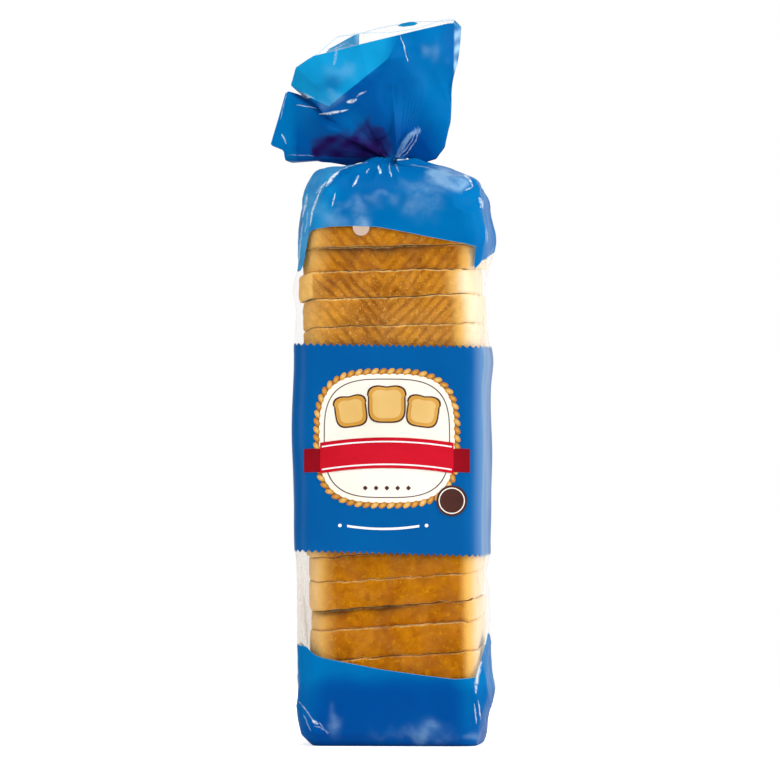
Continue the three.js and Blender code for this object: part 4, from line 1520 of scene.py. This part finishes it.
def buildBadge():
    made = [
        decal("badge_rim", squircle(79.5, 75.5), "umber", 1, squircle(75.0, 71.0)),
        decal("badge_plaque", squircle(75.4, 71.4), "cream", 1.4),
        decal("badge_line", squircle(70, 66), "brown", 2.2, squircle(69.0, 65.0)),
        buildBeads("badge_beads", "gold", 2.4, 0),
        buildBeads("badge_beads_between", "amber", 2.0, 1),
        buildBeads("badge_beads_light", "toast", 2.9, 0, 0.5),
        buildBeads("badge_beads_between_light", "gold", 2.6, 1, 0.5),
    ]
    for i, (cx, cz, turn, wide) in enumerate(badgeSlices):
        for layer, less, ink, level in sliceLayers:
            outline = sliceOutline(wide - less, cx, cz, turn)
            made.append(decal(f"badge_{layer}_{i + 1}", outline, ink, level + i * 0.9))
    made += [
        decal("ribbon_left", ribbonOutline(-46, -35, -12.5, 13, 0.3), "darkRed", 3.6),
        decal("ribbon_right", ribbonOutline(35, 46, -12.5, 13, 0.3), "darkRed", 3.6),
        decal("ribbon", ribbonOutline(-37, 37, -11, 17, 3.0), "red", 4.6),
        decal("ribbon_trim_low", ribbonOutline(-36, 36, -17.3, 0.8, 2.9), "white", 5.2),
        decal("ribbon_trim_high", ribbonOutline(-36, 36, -4.7, 0.8, 2.9), "white", 5.2),
    ]
    for i in range(5):
        dot = squircle(2.6, 2.6, 1.2, 24, -12 + i * 6, -27.5)
        made.append(decal(f"badge_dot_{i + 1}", dot, "brown", 2.6))
    made += [
        decal("seal", disc(17, 60, 36, -34.5), "brown", 5.6),
        decal("seal_ring", disc(14.6, 60, 36, -34.5), "cream", 6.2, disc(13.4, 60, 36, -34.5)),
        decal("underline", ribbonOutline(-22, 18, -48.5, 1.3, -1.6), "white", 1.4),
        decal("underline_dot_left", disc(2.0, 24, -26, -48.2), "white", 1.4),
        decal("underline_dot_right", disc(2.0, 24, 22, -48.2), "white", 1.4),
    ]
    return made


# Studio: pale floor, white surroundings, soft boxes at the sides and above
studio = {
    "floorRadius": 0.9,
    "floorSides": 96,
    "floorRings": (0.02, 0.3, 0.6, 1.0),
    "floorLevel": -0.05,
    "floor": (0.97, 0.97, 0.97, 1.0),
    "floorGlow": 0.6,
    "around": 0.07,
    "behind": 0.9,
    "azimuth": 4.0,
    "elevation": 0.0,
    "distance": 5.0,
    "viewWidth": 0.43575,
    "aim": (-0.0023, 0.0, 0.1972),
    "lampAim": (0.0, 0.0, 0.19),
    "sensor": 36.0,
    # name, place, size, power, colour
    "lights": [
        ("rightBox", (1.1, -0.35, 0.35), (0.7, 1.2), 11.0, (1.0, 0.98, 0.96)),
        ("leftBox", (-1.2, -0.8, 0.5), (0.6, 1.0), 8.0, (1.0, 1.0, 1.0)),
        ("topBox", (0.1, -0.5, 1.4), (1.0, 0.7), 10.0, (1.0, 1.0, 1.0)),
        ("frontFill", (1.3, -2.4, 1.3), (1.0, 0.8), 22.0, (1.0, 0.99, 0.97)),
    ],
}


def buildStudio():
    sides = studio["floorSides"]
    angle = np.arange(sides) / sides * 2 * math.pi
    radius = studio["floorRadius"] / mm
    level = np.full(sides, studio["floorLevel"])
    circle = np.stack([np.cos(angle) * radius, np.sin(angle) * radius, level], -1)
    grid = np.array([circle * (ring, ring, 1) for ring in studio["floorRings"]])
    faces = [f[::-1] for f in gridFaces(*grid.shape[:2])] + [list(range(sides))]
    floor = makeMesh("floor", grid, faces)
    material, tree, shader = newMaterial("paleFloor", Roughness=0.6)
    seen = addNode(tree, "ShaderNodeLightPath").outputs["Is Camera Ray"]
    tree.links.new(times(tree, seen, studio["floorGlow"]), shader.inputs["Emission Strength"])
    mottle = useGroup(tree, mottleGroup, Blotch_Size=200.0, Speck_Size=2.0, Seed=3.0)
    base = studio["floor"]
    darker = tuple(value * 0.985 for value in base[:3]) + (1.0,)
    tree.links.new(mixColour(tree, mottle["Blotch"], darker, base), shader.inputs["Base Color"])
    shader.inputs["Emission Color"].default_value = base
    floor.data.materials.append(material)

    world = bpy.data.worlds.new("studio")
    bpy.context.scene.world = world
    world.use_nodes = True
    tree = world.node_tree
    background = tree.nodes["Background"]
    direction = addNode(tree, "ShaderNodeTexCoord").outputs["Generated"]
    split = addNode(tree, "ShaderNodeSeparateXYZ", {"Vector": direction})
    backdrop = ramp(tree, split.outputs["Y"], 0.0, 0.8, studio["around"], studio["behind"])
    seen = addNode(tree, "ShaderNodeLightPath").outputs["Is Camera Ray"]
    tree.links.new(mixNumber(tree, seen, backdrop, 1.0), background.inputs["Strength"])
    background.inputs["Color"].default_value = (1, 1, 1, 1)

    for name, place, size, power, colour in studio["lights"]:
        lamp = bpy.data.lights.new(name, "AREA")
        lamp.shape = "RECTANGLE"
        lamp.size, lamp.size_y = size
        lamp.energy = power
        lamp.color = colour
        holder = bpy.data.objects.new(name, lamp)
        bpy.context.collection.objects.link(holder)
        holder.location = place
        aim = Vector(studio["lampAim"]) - Vector(place)
        holder.rotation_euler = aim.to_track_quat("-Z", "Y").to_euler()

    azimuth, elevation = math.radians(studio["azimuth"]), math.radians(studio["elevation"])
    flat = math.cos(elevation)
    away = Vector((math.sin(azimuth) * flat, -math.cos(azimuth) * flat, math.sin(elevation)))
    lens = bpy.data.cameras.new("camera")
    lens.sensor_width = studio["sensor"]
    lens.lens = studio["sensor"] * studio["distance"] / studio["viewWidth"]
    lens.clip_end = 20
    camera = bpy.data.objects.new("camera", lens)
    bpy.context.collection.objects.link(camera)
    camera.location = Vector(studio["aim"]) + away * studio["distance"]
    camera.rotation_euler = (-away).to_track_quat("-Z", "Y").to_euler()
    bpy.context.scene.camera = camera
    bpy.context.scene.view_settings.view_transform = "Standard"


buildStudio()
print("studio ready")

bread = breadMaterial()
slices = [buildSlice(index, bread) for index in range(len(cuts) - 1)]
print("slices:", len(slices))

bag = buildBag()
tail = buildTail()
print("film faces:", len(bag.data.polygons), len(tail.data.polygons))

label = buildLabel()
marks = buildBadge()
print("label and badge:", 1 + len(marks))

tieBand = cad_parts["tie"]
tieBand.data.materials.clear()
tieBand.data.materials.append(inkMaterial("tieBand", srgb(238, 242, 245), srgb(228, 233, 238), 0.4, 30.0))

for piece in slices:
    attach(piece, "root")
    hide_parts("bread_bag")
for piece in (bag, tail, label):
    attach(piece, "root")
    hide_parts("bread_bag")
for piece in marks:
    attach(piece, "root")
